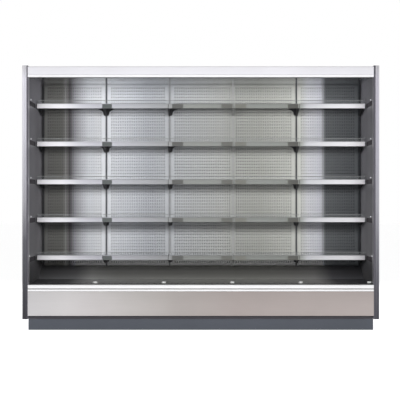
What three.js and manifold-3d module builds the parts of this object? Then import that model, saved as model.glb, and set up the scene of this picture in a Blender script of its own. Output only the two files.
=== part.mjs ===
// Open multideck display fridge: five bays wide, five levels of shelves over a lift-out deck.
// Millimetres. +X is the shopper's right, +Z is up, and the open front faces -Y.
// Every piece is drawn with y measured back from the front plane and z up from the floor;
// the whole group is then moved back so that its base is centred on the origin.

import * as THREE from 'three';
import { mergeVertices } from 'three/addons/utils/BufferGeometryUtils.js';
import Module from 'manifold-3d';

const wasm = await Module();
wasm.setup();

// ---------------------------------------------------------------- driving dimensions

const BAYS = 5;
const BAY_WIDTH = 543;
const CASE_DEPTH = 870;
const FIT_GAP = 0.3;            // between fixed neighbours
const SHEET = 2;                // folded steel sheet
const CUT_PAST = 1;             // how far a cutter runs past the face it opens
const CORNER_SEGMENTS = 4;      // facets of a rounded edge
const ROUND_SIDES = 12;         // facets round a small bar or hole
const WIDE_ROUND_SIDES = 20;    // facets round a fan opening, hub or motor

// base, tub and front below the opening
const KICK_FLOOR_GAP = 3;
const KICK_TOP = 89;
const KICK_SETBACK = 35;
const KICK_RETURN = 22;
const FOOT_RADIUS = 32;
const FOOT_PAD_HEIGHT = 10;
const FOOT_STEM_RADIUS = 12;
const FEET_ALONG = 4;
const RAIL_BOTTOM = 66;
const RAIL_WIDTH = 56;
const RAIL_INSET = 70;
const TUB_BOTTOM = 116;
const TUB_WALL = 50;
const TUB_FLOOR = 44;
const TUB_FALL = 16;
const TUB_REAR_DROP = 3;         // rear rim below the front one
const DRAIN_RADIUS = 19;
const DRAIN_BORE = 15;
const DRAIN_LENGTH = 40;
const LOWER_PANEL_HEIGHT = 193;
const LOWER_PANEL_DEPTH = 12;
const BUMPER_HEIGHT = 50;
const BUMPER_DEPTH = 62;
const BUMPER_LEDGE_DEPTH = 20;
const BUMPER_LEDGE_DROP = 16;
const BUMPER_NOSE = 9;
const GROOVE_HEIGHT = 8;
const GROOVE_DEPTH = 5;
const GROOVE_RISE = 15;
const DECK_RISE = 8;            // deck above the bumper's top

// end panels
const END_THICKNESS = 45;
const END_BOTTOM = 90;
const END_STRIP = 20;
const END_STRIP_GAP = 3;
const END_STRIP_STEP = 3;
const END_CORNER = 4;
const END_OVER_CANOPY = 8;

// rear wall, air duct and what stands in it
const BACK_THICKNESS = 50;
const BACK_RIB_DEPTH = 8;
const BACK_RIB_WIDTH = 46;
const BACK_RIBS = 6;
const DUCT_DEPTH = 80;
const UPRIGHT_WIDTH = 20;
const UPRIGHT_WALL_GAP = 3;
const SLOT_WIDTH = 13;
const SLOT_HEIGHT = 20;
const SLOT_PITCH = 44.4;
const PANEL_SETBACK = 1;
const PANEL_FOLD = 12;

// shelves
const LEVELS = 5;
const SLOTS_PER_LEVEL = 7;
const FIRST_SHELF_RISE = 205;   // lowest shelf above the deck
const TOP_SHELF_ROOM = 192;     // above the top shelf
const SHELF_DEPTH = 350;
const SHELF_REAR_GAP = 6;
const SHELF_SIDE_GAP = 2;
const SHELF_FACE_HEIGHT = 39;
const SHELF_FACE_RETURN = 14;
const SHELF_REAR_FOLD = 12;
const SHELF_STIFFENER = 10;
const BRACKET_THICKNESS = 3;
const BRACKET_OFFSET = 4;       // bracket centre from the upright's centre
const BRACKET_REAR_HEIGHT = 78;
const BRACKET_FRONT_HEIGHT = 22;
const BRACKET_FRONT_GAP = 26;
const BRACKET_UPRIGHT_GAP = 0.5;
const HOOK_BELOW_TOP = 24;      // slot's lower edge below the shelf's top
const HOOK_HEIGHT = 8;
const HOOK_THICKNESS = 2.8;
const HOOK_BEHIND_GAP = 1.7;
const HOOK_DROP = 6;
const TAB_LENGTH = 5;
const TAB_CLEARANCE = 2;

// deck
const BAFFLE_RUN = 177;
const BAFFLE_RISE = 102;
const BAFFLE_FOLD = 14;
const BAFFLE_LEDGE = 26;
const PAN_SIDE_GAP = 0.5;
const PAN_END_GAP = 2;
const PAN_FLANGE = 21;
const PAN_SLOTS = 11;
const PAN_SLOT_LENGTH = 64;
const PAN_SLOT_WIDTH = 14;
const PAN_SLOT_MARGIN = 34;
const PAN_SLOT_SETBACK = 16;
const FINGER_HOLE_RADIUS = 11;
const FINGER_HOLE_INSET = 22;

// canopy and ceiling
const CANOPY_FACE = 65;
const CANOPY_CORNER = 6;
const CANOPY_RETURN = 9;
const CANOPY_TOP_DEPTH = 100;
const TRIM_HEIGHT = 19;
const TRIM_DEPTH = 38;
const TRIM_WALL = 3;
const HONEYCOMB_DEPTH = 60;
const HONEYCOMB_HEIGHT = 18;
const HONEYCOMB_SEAT = 6;
const HONEYCOMB_CELLS = 26;
const HONEYCOMB_WEB = 4;
const HONEYCOMB_RIM = 5;
const CEILING_ABOVE_TRIM = 17;
const CEILING_LEDGE = 7;
const ROOF_THICKNESS = 30;
const LAMP_HEIGHT = 24;
const LAMP_DEPTH = 18;
const LAMP_EDGE = 8;
const LAMP_END_GAP = 20;
const LAMP_BELOW_TOP = 8;

// cooling: fan plenum, fans and coil in the tub
const PLENUM_FROM_REAR = 240;
const PLENUM_FOOT = 36;
const FANS = 2;
const FAN_RADIUS = 66;
const FAN_TIP_GAP = 5;
const FAN_HUB_RADIUS = 22;
const FAN_HUB_LENGTH = 22;
const FAN_BLADES = 5;
const BLADE_FORWARD = 2;        // blades ahead of the hub's middle
const BLADE_ROOT_RADIUS = 15;
const BLADE_ROOT_CHORD = 24;
const BLADE_TIP_CHORD = 43;
const BLADE_CAMBER = 3;
const BLADE_THICKNESS = 2.4;
const BLADE_ROOT_PITCH = 27;    // degrees
const BLADE_TIP_PITCH = 14;
const COLLAR_WALL = 3;
const COLLAR_LENGTH = 16;
const MOTOR_RADIUS = 30;
const MOTOR_LENGTH = 48;
const MOTOR_GAP = 6;
const MOTOR_ARMS = 3;
const ARM_WIDTH = 9;
const ARM_THICKNESS = 4;
const SHAFT_RADIUS = 4;
const SHAFT_BORE_GAP = 0.5;
const SHAFT_SEAT = 20;          // motor bore's depth
const SHAFT_END_GAP = 6;
const COIL_DEPTH = 122;
const COIL_REAR_GAP = 12;
const COIL_HEIGHT = 150;
const COIL_FLOOR_GAP = 12;
const COIL_END_GAP = 90;
const COIL_CORE = 44;
const COIL_FINS = 26;
const FIN_THICKNESS = 6;
const COIL_PLATE = 5;
const BEND_RADIUS = 22;
const COIL_TUBE_RADIUS = 7;
const BENDS_PER_END = 3;
const BEND_STEPS = 4;
const TUBE_CURVE_SEGMENTS = 3;

// ---------------------------------------------------------------- sizes worked out from them

const INSIDE_WIDTH = BAYS * BAY_WIDTH;
const HALF_INSIDE = INSIDE_WIDTH / 2;
const FITTED_WIDTH = INSIDE_WIDTH - 2 * FIT_GAP;

const LOWER_PANEL_TOP = TUB_BOTTOM + LOWER_PANEL_HEIGHT;
const BUMPER_BOTTOM = LOWER_PANEL_TOP + FIT_GAP;
const BUMPER_TOP = BUMPER_BOTTOM + BUMPER_HEIGHT;
const DECK_TOP = BUMPER_TOP + DECK_RISE;
const TUB_FLOOR_TOP = TUB_BOTTOM + TUB_FLOOR;
const TUB_REAR_TOP = LOWER_PANEL_TOP - TUB_REAR_DROP;

const REAR_FACE = CASE_DEPTH - BACK_THICKNESS - DUCT_DEPTH;
const TUB_INNER_REAR = CASE_DEPTH - BACK_THICKNESS;
const BAFFLE_TOP = DECK_TOP + BAFFLE_RISE;
const BAFFLE_LEDGE_TOP = DECK_TOP - PAN_FLANGE - FIT_GAP;
const BAFFLE_FRONT = REAR_FACE - SHEET - BAFFLE_RUN;

const SHELF_PITCH = SLOTS_PER_LEVEL * SLOT_PITCH;
const TOP_SHELF = DECK_TOP + FIRST_SHELF_RISE + (LEVELS - 1) * SHELF_PITCH;
const CEILING_BOTTOM = TOP_SHELF + TOP_SHELF_ROOM;
const TRIM_BOTTOM = CEILING_BOTTOM - CEILING_ABOVE_TRIM;
const CANOPY_BOTTOM = TRIM_BOTTOM + TRIM_HEIGHT;
const CANOPY_TOP = CANOPY_BOTTOM + CANOPY_FACE;
const CASE_HEIGHT = CANOPY_TOP + END_OVER_CANOPY;
const ROOF_BOTTOM = CANOPY_TOP - ROOF_THICKNESS;

const UPRIGHT_END_INSET = UPRIGHT_WALL_GAP + UPRIGHT_WIDTH / 2;
const UPRIGHT_PITCH = (INSIDE_WIDTH - 2 * UPRIGHT_END_INSET) / BAYS;
const UPRIGHT_TOP = CEILING_BOTTOM - FIT_GAP;
const SHELF_WIDTH = UPRIGHT_PITCH - 2 * SHELF_SIDE_GAP;
const FIRST_SLOT_BOTTOM = DECK_TOP + FIRST_SHELF_RISE - HOOK_BELOW_TOP - SLOT_PITCH;

const PLENUM_FACE = REAR_FACE - PLENUM_FROM_REAR;
const PLENUM_TOP = BAFFLE_LEDGE_TOP - SHEET - FIT_GAP;
const FAN_HEIGHT = (TUB_FLOOR_TOP + PLENUM_TOP) / 2;
const ORIFICE_RADIUS = FAN_RADIUS + FAN_TIP_GAP;
const MOTOR_FRONT = PLENUM_FACE + FAN_HUB_LENGTH / 2 + MOTOR_GAP;

const fanX = (fan) => INSIDE_WIDTH * ((fan + 0.5) / FANS - 0.5);
const bayX = (bay) => (bay - (BAYS - 1) / 2) * BAY_WIDTH;
const uprightX = (post) => (post - BAYS / 2) * UPRIGHT_PITCH;

// ---------------------------------------------------------------- materials

function finish(color, roughness, metalness) {
  return new THREE.MeshStandardMaterial({ color, roughness, metalness });
}

const whitePaint = finish(0xedeef1, 0.4, 0.0);
const whiteTrim = finish(0xf6f6f8, 0.3, 0.0);
const greyPaint = finish(0xc9c9d0, 0.45, 0.1);
const stainless = finish(0xc6c4c2, 0.32, 0.9);
const darkSteel = finish(0x3c3c3e, 0.5, 0.6);
const galvanised = finish(0xa4a8ac, 0.55, 0.7);
const kickPaint = finish(0x5a5c66, 0.6, 0.1);
const liner = finish(0xd4d6da, 0.5, 0.0);
const aluminium = finish(0xb8bcc0, 0.4, 0.8);
const fanPlastic = finish(0x26282a, 0.5, 0.0);
const lampLens = finish(0xfdfdf8, 0.3, 0.0);

// ---------------------------------------------------------------- solids

// A closed three.js geometry as a solid that can be joined and cut.
function toSolid(geometry) {
  const plain = geometry.clone();
  plain.deleteAttribute('normal');
  plain.deleteAttribute('uv');
  const merged = mergeVertices(plain, 1e-4);
  const mesh = new wasm.Mesh({
    numProp: 3,
    vertProperties: Float32Array.from(merged.attributes.position.array),
    triVerts: Uint32Array.from(merged.index.array),
  });
  return new wasm.Manifold(mesh);
}

function toGeometry(solid) {
  const mesh = solid.getMesh();
  const geometry = new THREE.BufferGeometry();
  geometry.setAttribute('position', new THREE.BufferAttribute(Float32Array.from(mesh.vertProperties), 3));
  geometry.setIndex(Array.from(mesh.triVerts));
  const faceted = geometry.toNonIndexed();
  faceted.computeVertexNormals();
  return faceted;
}

const join = (...geometries) => toGeometry(geometries.map(toSolid).reduce((all, one) => all.add(one)));

function cut(geometry, cutters) {
  const tools = cutters.map(toSolid).reduce((all, one) => all.add(one));
  return toGeometry(toSolid(geometry).subtract(tools));
}

// A box from its low corner to its high corner.
function block(low, high) {
  const size = high.map((value, axis) => value - low[axis]);
  const box = new THREE.BoxGeometry(...size);
  return box.translate(...low.map((value, axis) => value + size[axis] / 2));
}

function shapeOf(points) {
  return new THREE.Shape(points.map(([u, v]) => new THREE.Vector2(u, v)));
}

function extrude(shape, depth) {
  return new THREE.ExtrudeGeometry(shape, { depth, bevelEnabled: false, curveSegments: CORNER_SEGMENTS });
}

// A section drawn in depth and height, run along X and centred on x.
function alongX(shape, length, x = 0) {
  const solid = extrude(shape, length);
  solid.translate(0, 0, -length / 2);
  const turn = new THREE.Matrix4().makeBasis(
    new THREE.Vector3(0, 1, 0),
    new THREE.Vector3(0, 0, 1),
    new THREE.Vector3(1, 0, 0),
  );
  return solid.applyMatrix4(turn).translate(x, 0, 0);
}

// A plan drawn in x and depth, run up from one height to another.
function alongZ(shape, bottom, top) {
  return extrude(shape, top - bottom).translate(0, 0, bottom);
}

// A round bar along Y, from one depth to another.
function roundY(radius, front, rear, x, z, sides = ROUND_SIDES) {
  const bar = new THREE.CylinderGeometry(radius, radius, rear - front, sides);
  return bar.translate(x, (front + rear) / 2, z);
}

// A round bar along Z.
function roundZ(radius, bottom, top, x, y) {
  const bar = new THREE.CylinderGeometry(radius, radius, top - bottom, ROUND_SIDES);
  return bar.rotateX(Math.PI / 2).translate(x, y, (bottom + top) / 2);
}

// The outline of a folded sheet: its middle line is the path, and each fold is mitred.
function foldedSheet(path, thickness) {
  const points = path.map(([u, v]) => new THREE.Vector2(u, v));
  const half = thickness / 2;
  const normals = [];
  for (let i = 0; i < points.length - 1; i += 1) {
    const run = points[i + 1].clone().sub(points[i]).normalize();
    normals.push(new THREE.Vector2(-run.y, run.x));
  }
  const left = [];
  const right = [];
  points.forEach((point, i) => {
    const before = normals[Math.max(i - 1, 0)];
    const after = normals[Math.min(i, normals.length - 1)];
    const mitre = before.clone().add(after).normalize();
    const reach = half / mitre.dot(after);
    left.push(point.clone().addScaledVector(mitre, reach));
    right.push(point.clone().addScaledVector(mitre, -reach));
  });
  return new THREE.Shape([...right, ...left.reverse()]);
}

// ---------------------------------------------------------------- base

function baseFrame() {
  const top = TUB_BOTTOM - FIT_GAP;
  const railEnd = HALF_INSIDE - FIT_GAP;
  const kickRear = KICK_SETBACK + SHEET + FIT_GAP;
  const frontRail = [kickRear + RAIL_INSET, kickRear + RAIL_INSET + RAIL_WIDTH];
  const rearRail = [CASE_DEPTH - RAIL_INSET - RAIL_WIDTH, CASE_DEPTH - RAIL_INSET];
  const parts = [];
  for (const [front, rear] of [frontRail, rearRail]) {
    parts.push(block([-railEnd, front, RAIL_BOTTOM], [railEnd, rear, top]));
  }
  for (let i = 0; i < FEET_ALONG; i += 1) {
    const x = (i / (FEET_ALONG - 1) - 0.5) * 2 * (railEnd - FOOT_RADIUS);
    const half = RAIL_WIDTH / 2;
    parts.push(block([x - half, kickRear, RAIL_BOTTOM], [x + half, rearRail[1], top]));
    for (const [front, rear] of [frontRail, rearRail]) {
      const y = (front + rear) / 2;
      parts.push(roundZ(FOOT_RADIUS, 0, FOOT_PAD_HEIGHT, x, y));
      parts.push(roundZ(FOOT_STEM_RADIUS, FOOT_PAD_HEIGHT / 2, RAIL_BOTTOM + FIT_GAP, x, y));
    }
  }
  return join(...parts);
}

function kickPlate() {
  const face = KICK_SETBACK + SHEET / 2;
  const top = KICK_TOP - SHEET / 2;
  const path = [
    [face + KICK_RETURN, KICK_FLOOR_GAP + SHEET / 2],
    [face, KICK_FLOOR_GAP + SHEET / 2],
    [face, top],
  ];
  return alongX(foldedSheet(path, SHEET), FITTED_WIDTH);
}

function insulatedTub() {
  const front = LOWER_PANEL_DEPTH + FIT_GAP;
  const innerFront = front + TUB_WALL;
  const shape = shapeOf([
    [front, TUB_BOTTOM],
    [CASE_DEPTH, TUB_BOTTOM],
    [CASE_DEPTH, TUB_REAR_TOP],
    [TUB_INNER_REAR, TUB_REAR_TOP],
    [TUB_INNER_REAR, TUB_FLOOR_TOP],
    [PLENUM_FACE - PLENUM_FOOT - TUB_FALL, TUB_FLOOR_TOP],
    [innerFront + TUB_FALL, TUB_FLOOR_TOP + TUB_FALL],
    [innerFront, TUB_FLOOR_TOP + 2 * TUB_FALL],
    [innerFront, LOWER_PANEL_TOP],
    [front, LOWER_PANEL_TOP],
  ]);
  const drainY = PLENUM_FACE - PLENUM_FOOT - TUB_FALL - DRAIN_RADIUS;
  const spoutBottom = TUB_BOTTOM - DRAIN_LENGTH;
  const spout = roundZ(DRAIN_RADIUS, spoutBottom, TUB_BOTTOM + FIT_GAP, 0, drainY);
  const bore = roundZ(DRAIN_BORE, spoutBottom - CUT_PAST, TUB_FLOOR_TOP + TUB_FALL, 0, drainY);
  return cut(join(alongX(shape, FITTED_WIDTH), spout), [bore]);
}

// ---------------------------------------------------------------- lower front

function lowerPanel() {
  const face = SHEET / 2;
  const rear = LOWER_PANEL_DEPTH - SHEET / 2;
  const bottom = TUB_BOTTOM + SHEET / 2;
  const top = LOWER_PANEL_TOP - SHEET / 2;
  const path = [
    [rear, bottom],
    [face, bottom],
    [face, top],
    [rear, top],
  ];
  return alongX(foldedSheet(path, SHEET), FITTED_WIDTH);
}

function bumper() {
  const low = BUMPER_BOTTOM;
  const top = BUMPER_TOP;
  const ledge = BUMPER_DEPTH - BUMPER_LEDGE_DEPTH;
  const grooveLow = low + GROOVE_RISE;
  const shape = new THREE.Shape();
  shape.moveTo(BUMPER_DEPTH, low);
  shape.lineTo(BUMPER_DEPTH, top - BUMPER_LEDGE_DROP);
  shape.lineTo(ledge, top - BUMPER_LEDGE_DROP);
  shape.lineTo(ledge, top);
  shape.lineTo(BUMPER_NOSE, top);
  shape.quadraticCurveTo(0, top, 0, top - BUMPER_NOSE);
  shape.lineTo(0, grooveLow + GROOVE_HEIGHT);
  shape.lineTo(GROOVE_DEPTH, grooveLow + GROOVE_HEIGHT);
  shape.lineTo(GROOVE_DEPTH, grooveLow);
  shape.lineTo(0, grooveLow);
  shape.lineTo(0, low);
  return alongX(shape, FITTED_WIDTH);
}

// ---------------------------------------------------------------- ends, back and roof

// The plan of an end panel, with its two front trim strips. side is -1 on the left and 1 on the right.
function endPanel(side) {
  const inner = side * HALF_INSIDE;
  const outer = side * (HALF_INSIDE + END_THICKNESS);
  const innerStrip = side * (HALF_INSIDE + END_STRIP);
  const outerStrip = side * (HALF_INSIDE + END_STRIP + END_STRIP_GAP);
  const shape = new THREE.Shape();
  shape.moveTo(inner, CASE_DEPTH);
  shape.lineTo(inner, 0);
  shape.lineTo(innerStrip, 0);
  shape.lineTo(innerStrip, 2 * END_STRIP_STEP);
  shape.lineTo(outerStrip, 2 * END_STRIP_STEP);
  shape.lineTo(outerStrip, END_STRIP_STEP);
  shape.lineTo(outer - side * END_CORNER, END_STRIP_STEP);
  shape.quadraticCurveTo(outer, END_STRIP_STEP, outer, END_STRIP_STEP + END_CORNER);
  shape.lineTo(outer, CASE_DEPTH);
  return alongZ(shape, END_BOTTOM, CASE_HEIGHT);
}

// The foam-filled back, with pressed ribs running up its outer skin.
function rearWall() {
  const half = FITTED_WIDTH / 2;
  const skin = CASE_DEPTH - BACK_RIB_DEPTH;
  const foot = BACK_RIB_WIDTH / 2;
  const crest = foot - BACK_RIB_DEPTH;
  const points = [[-half, TUB_INNER_REAR], [half, TUB_INNER_REAR], [half, skin]];
  for (let rib = BACK_RIBS - 1; rib >= 0; rib -= 1) {
    const middle = (rib / (BACK_RIBS - 1) - 0.5) * 2 * (half - BACK_RIB_WIDTH);
    points.push([middle + foot, skin], [middle + crest, CASE_DEPTH]);
    points.push([middle - crest, CASE_DEPTH], [middle - foot, skin]);
  }
  points.push([-half, skin]);
  return alongZ(shapeOf(points), TUB_REAR_TOP + FIT_GAP, ROOF_BOTTOM - FIT_GAP);
}

function roofPanel() {
  return block(
    [-FITTED_WIDTH / 2, CANOPY_TOP_DEPTH + FIT_GAP, ROOF_BOTTOM],
    [FITTED_WIDTH / 2, CASE_DEPTH, CANOPY_TOP],
  );
}

// ---------------------------------------------------------------- canopy and ceiling

function canopy() {
  const face = SHEET / 2;
  const bottom = CANOPY_BOTTOM + FIT_GAP + SHEET / 2;
  const top = CANOPY_TOP - SHEET / 2;
  const path = [
    [CANOPY_RETURN, bottom],
    [face, bottom],
    [face, top - CANOPY_CORNER],
    [face + CANOPY_CORNER, top],
    [CANOPY_TOP_DEPTH, top],
  ];
  return alongX(foldedSheet(path, SHEET), FITTED_WIDTH);
}

function canopyTrim() {
  const shape = new THREE.Shape();
  shape.moveTo(0, CANOPY_BOTTOM);
  shape.lineTo(0, TRIM_BOTTOM + TRIM_WALL);
  shape.quadraticCurveTo(0, TRIM_BOTTOM, TRIM_WALL, TRIM_BOTTOM);
  shape.lineTo(TRIM_DEPTH, TRIM_BOTTOM);
  shape.lineTo(TRIM_DEPTH, TRIM_BOTTOM + TRIM_WALL);
  shape.lineTo(TRIM_WALL, TRIM_BOTTOM + TRIM_WALL);
  shape.lineTo(TRIM_WALL, CANOPY_BOTTOM);
  return alongX(shape, FITTED_WIDTH);
}

function honeycomb() {
  const front = TRIM_DEPTH - HONEYCOMB_SEAT;
  const bottom = TRIM_BOTTOM + TRIM_WALL + FIT_GAP;
  const half = FITTED_WIDTH / 2;
  const slab = block([-half, front, bottom], [half, front + HONEYCOMB_DEPTH, bottom + HONEYCOMB_HEIGHT]);
  const pitch = (FITTED_WIDTH - HONEYCOMB_WEB) / HONEYCOMB_CELLS;
  const cellFront = front + HONEYCOMB_SEAT + HONEYCOMB_RIM;
  const cellRear = front + HONEYCOMB_DEPTH - HONEYCOMB_SEAT - HONEYCOMB_RIM;
  const cells = [];
  for (let i = 0; i < HONEYCOMB_CELLS; i += 1) {
    const x = -half + HONEYCOMB_WEB + i * pitch;
    cells.push(block(
      [x, cellFront, bottom - CUT_PAST],
      [x + pitch - HONEYCOMB_WEB, cellRear, bottom + HONEYCOMB_HEIGHT + CUT_PAST],
    ));
  }
  return cut(slab, cells);
}

// The ceiling carries the honeycomb's rear edge on a ledge and closes the duct over the shelves.
function ceilingPanel() {
  const middle = CEILING_BOTTOM + SHEET / 2;
  const step = TRIM_DEPTH - HONEYCOMB_SEAT + HONEYCOMB_DEPTH + FIT_GAP + SHEET / 2;
  const ledge = TRIM_BOTTOM + TRIM_WALL - SHEET / 2;
  const path = [
    [step - CEILING_LEDGE, ledge],
    [step, ledge],
    [step, middle],
    [REAR_FACE + PANEL_SETBACK + SHEET, middle],
  ];
  return alongX(foldedSheet(path, SHEET), FITTED_WIDTH);
}

// A strip light along the back of the fascia, with its rounded lens turned to the shelves.
function canopyLamp() {
  const seat = SHEET + FIT_GAP;
  const lens = seat + LAMP_DEPTH;
  const top = CANOPY_TOP - SHEET - LAMP_BELOW_TOP;
  const shape = new THREE.Shape();
  shape.moveTo(seat, top);
  shape.lineTo(seat, top - LAMP_HEIGHT);
  shape.quadraticCurveTo(lens, top - LAMP_HEIGHT, lens, top - LAMP_EDGE);
  shape.lineTo(lens, top);
  return alongX(shape, FITTED_WIDTH - 2 * LAMP_END_GAP);
}

// ---------------------------------------------------------------- rear of the display space

// A slotted channel, open at its back, that stands on the tub's floor and takes the shelf hooks.
function upright(post) {
  const half = UPRIGHT_WIDTH / 2;
  const rear = TUB_INNER_REAR - FIT_GAP;
  const shape = shapeOf([
    [-half, REAR_FACE],
    [half, REAR_FACE],
    [half, rear],
    [half - SHEET, rear],
    [half - SHEET, REAR_FACE + SHEET],
    [SHEET - half, REAR_FACE + SHEET],
    [SHEET - half, rear],
    [-half, rear],
  ]);
  const slots = [];
  for (let z = FIRST_SLOT_BOTTOM; z + SLOT_HEIGHT < CEILING_BOTTOM - SLOT_HEIGHT; z += SLOT_PITCH) {
    slots.push(block(
      [-SLOT_WIDTH / 2, REAR_FACE - CUT_PAST, z],
      [SLOT_WIDTH / 2, REAR_FACE + SHEET + CUT_PAST, z + SLOT_HEIGHT],
    ));
  }
  const channel = alongZ(shape, TUB_FLOOR_TOP + FIT_GAP, UPRIGHT_TOP);
  return cut(channel, slots).translate(uprightX(post), 0, 0);
}

// A wall panel between two uprights, with its side edges folded back beside them.
function rearPanel(bay) {
  const left = uprightX(bay) + UPRIGHT_WIDTH / 2 + FIT_GAP + SHEET / 2;
  const right = uprightX(bay + 1) - UPRIGHT_WIDTH / 2 - FIT_GAP - SHEET / 2;
  const face = REAR_FACE + PANEL_SETBACK + SHEET / 2;
  const path = [
    [left, face + PANEL_FOLD],
    [left, face],
    [right, face],
    [right, face + PANEL_FOLD],
  ];
  return alongZ(foldedSheet(path, SHEET), BAFFLE_TOP + FIT_GAP, CEILING_BOTTOM - FIT_GAP);
}

// The sloping sheet between the deck and the rear wall, notched round the uprights.
function rearBaffle() {
  const path = [
    [BAFFLE_FRONT - BAFFLE_LEDGE, BAFFLE_LEDGE_TOP - SHEET / 2],
    [BAFFLE_FRONT, BAFFLE_LEDGE_TOP - SHEET / 2],
    [BAFFLE_FRONT, DECK_TOP - SHEET],
    [REAR_FACE - SHEET, BAFFLE_TOP - SHEET / 2],
    [REAR_FACE + BAFFLE_FOLD, BAFFLE_TOP - SHEET / 2],
  ];
  const notches = [];
  for (let post = 0; post <= BAYS; post += 1) {
    const half = UPRIGHT_WIDTH / 2 + FIT_GAP;
    notches.push(block(
      [uprightX(post) - half, REAR_FACE - FIT_GAP, BAFFLE_TOP - BAFFLE_FOLD],
      [uprightX(post) + half, REAR_FACE + BAFFLE_FOLD + CUT_PAST, BAFFLE_TOP + CUT_PAST],
    ));
  }
  return cut(alongX(foldedSheet(path, SHEET), FITTED_WIDTH), notches);
}

// ---------------------------------------------------------------- shelf

// A bracket's outline in depth and height, with the shelf's top at height 0 and the upright's face
// at depth 0. Its upper hook drops behind the face of the upright; its lower tab only enters a slot.
function bracketOutline() {
  const seat = -HOOK_BELOW_TOP + FIT_GAP;
  const hookFront = SHEET + HOOK_BEHIND_GAP;
  const hookRear = hookFront + HOOK_THICKNESS;
  const tabTop = -HOOK_BELOW_TOP - SLOT_PITCH + TAB_CLEARANCE + HOOK_HEIGHT;
  const front = BRACKET_FRONT_GAP - SHELF_DEPTH;
  return shapeOf([
    [-SHELF_REAR_GAP, -SHEET / 2],
    [front, -SHEET / 2],
    [front, -BRACKET_FRONT_HEIGHT],
    [-BRACKET_REAR_HEIGHT, -BRACKET_REAR_HEIGHT],
    [-BRACKET_UPRIGHT_GAP, -BRACKET_REAR_HEIGHT],
    [-BRACKET_UPRIGHT_GAP, tabTop - HOOK_HEIGHT],
    [TAB_LENGTH, tabTop - HOOK_HEIGHT],
    [TAB_LENGTH, tabTop],
    [-BRACKET_UPRIGHT_GAP, tabTop],
    [-BRACKET_UPRIGHT_GAP, seat],
    [hookFront, seat],
    [hookFront, seat - HOOK_DROP],
    [hookRear, seat - HOOK_DROP],
    [hookRear, seat + HOOK_HEIGHT],
    [-BRACKET_UPRIGHT_GAP, seat + HOOK_HEIGHT],
  ]);
}

// One shelf as it is lifted out: the pan with its folded front face, and a bracket under each side.
function shelf() {
  const half = SHEET / 2;
  const face = -SHELF_DEPTH + half;
  const panPath = [
    [-SHELF_REAR_GAP - half, -half - SHELF_REAR_FOLD],
    [-SHELF_REAR_GAP - half, -half],
    [face, -half],
    [face, half - SHELF_FACE_HEIGHT],
    [face + SHELF_FACE_RETURN, half - SHELF_FACE_HEIGHT],
    [face + SHELF_FACE_RETURN, half - SHELF_FACE_HEIGHT + SHELF_STIFFENER],
  ];
  const parts = [alongX(foldedSheet(panPath, SHEET), SHELF_WIDTH)];
  const bracketX = SHELF_WIDTH / 2 + SHELF_SIDE_GAP - BRACKET_OFFSET;
  for (const side of [-1, 1]) {
    parts.push(alongX(bracketOutline(), BRACKET_THICKNESS, side * bracketX));
  }
  return join(...parts);
}

// ---------------------------------------------------------------- deck

// One deck pan: return-air slots near its front edge, and a finger hole to lift it by.
function deckPan() {
  const half = SHEET / 2;
  const width = BAY_WIDTH - 2 * PAN_SIDE_GAP;
  const front = BUMPER_DEPTH - BUMPER_LEDGE_DEPTH + PAN_END_GAP + half;
  const rear = BAFFLE_FRONT - half - PAN_END_GAP - half;
  const frontFlangeBottom = BUMPER_TOP - BUMPER_LEDGE_DROP + FIT_GAP;
  const path = [
    [front, frontFlangeBottom],
    [front, DECK_TOP - half],
    [rear, DECK_TOP - half],
    [rear, DECK_TOP - PAN_FLANGE],
  ];
  const pan = alongX(foldedSheet(path, SHEET), width);
  const slotFront = front + PAN_SLOT_SETBACK;
  const slotRear = slotFront + PAN_SLOT_LENGTH;
  const through = [DECK_TOP - SHEET - CUT_PAST, DECK_TOP + CUT_PAST];
  const fingerX = width / 2 - FINGER_HOLE_INSET;
  const slotSpan = width - PAN_SLOT_MARGIN - 2 * FINGER_HOLE_INSET - PAN_SLOT_WIDTH;
  const cutters = [roundZ(FINGER_HOLE_RADIUS, ...through, fingerX, (slotFront + slotRear) / 2)];
  for (let i = 0; i < PAN_SLOTS; i += 1) {
    const x = PAN_SLOT_MARGIN - width / 2 + (i / (PAN_SLOTS - 1)) * slotSpan;
    cutters.push(block([x, slotFront, through[0]], [x + PAN_SLOT_WIDTH, slotRear, through[1]]));
  }
  return cut(pan, cutters);
}

// ---------------------------------------------------------------- cooling

// The fan wall stands on the tub's floor, carries the motors on three arms each, and its top flange
// holds up the baffle's ledge and, through it, the rear of the deck pans.
function fanPlenum() {
  const half = SHEET / 2;
  const path = [
    [PLENUM_FACE - PLENUM_FOOT, TUB_FLOOR_TOP + FIT_GAP + half],
    [PLENUM_FACE + half, TUB_FLOOR_TOP + FIT_GAP + half],
    [PLENUM_FACE + half, PLENUM_TOP - half],
    [BAFFLE_FRONT + half, PLENUM_TOP - half],
  ];
  let wall = toSolid(alongX(foldedSheet(path, SHEET), FITTED_WIDTH));
  for (let fan = 0; fan < FANS; fan += 1) {
    const x = fanX(fan);
    const rear = PLENUM_FACE + SHEET;
    const collarFront = rear - COLLAR_LENGTH;
    const collar = roundY(ORIFICE_RADIUS + COLLAR_WALL, collarFront, rear, x, FAN_HEIGHT, WIDE_ROUND_SIDES);
    const through = [collarFront - CUT_PAST, rear + CUT_PAST];
    const orifice = roundY(ORIFICE_RADIUS, ...through, x, FAN_HEIGHT, WIDE_ROUND_SIDES);
    wall = wall.add(toSolid(collar)).subtract(toSolid(orifice));
    wall = wall.add(toSolid(motorWithArms(x)));
  }
  return toGeometry(wall);
}

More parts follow.
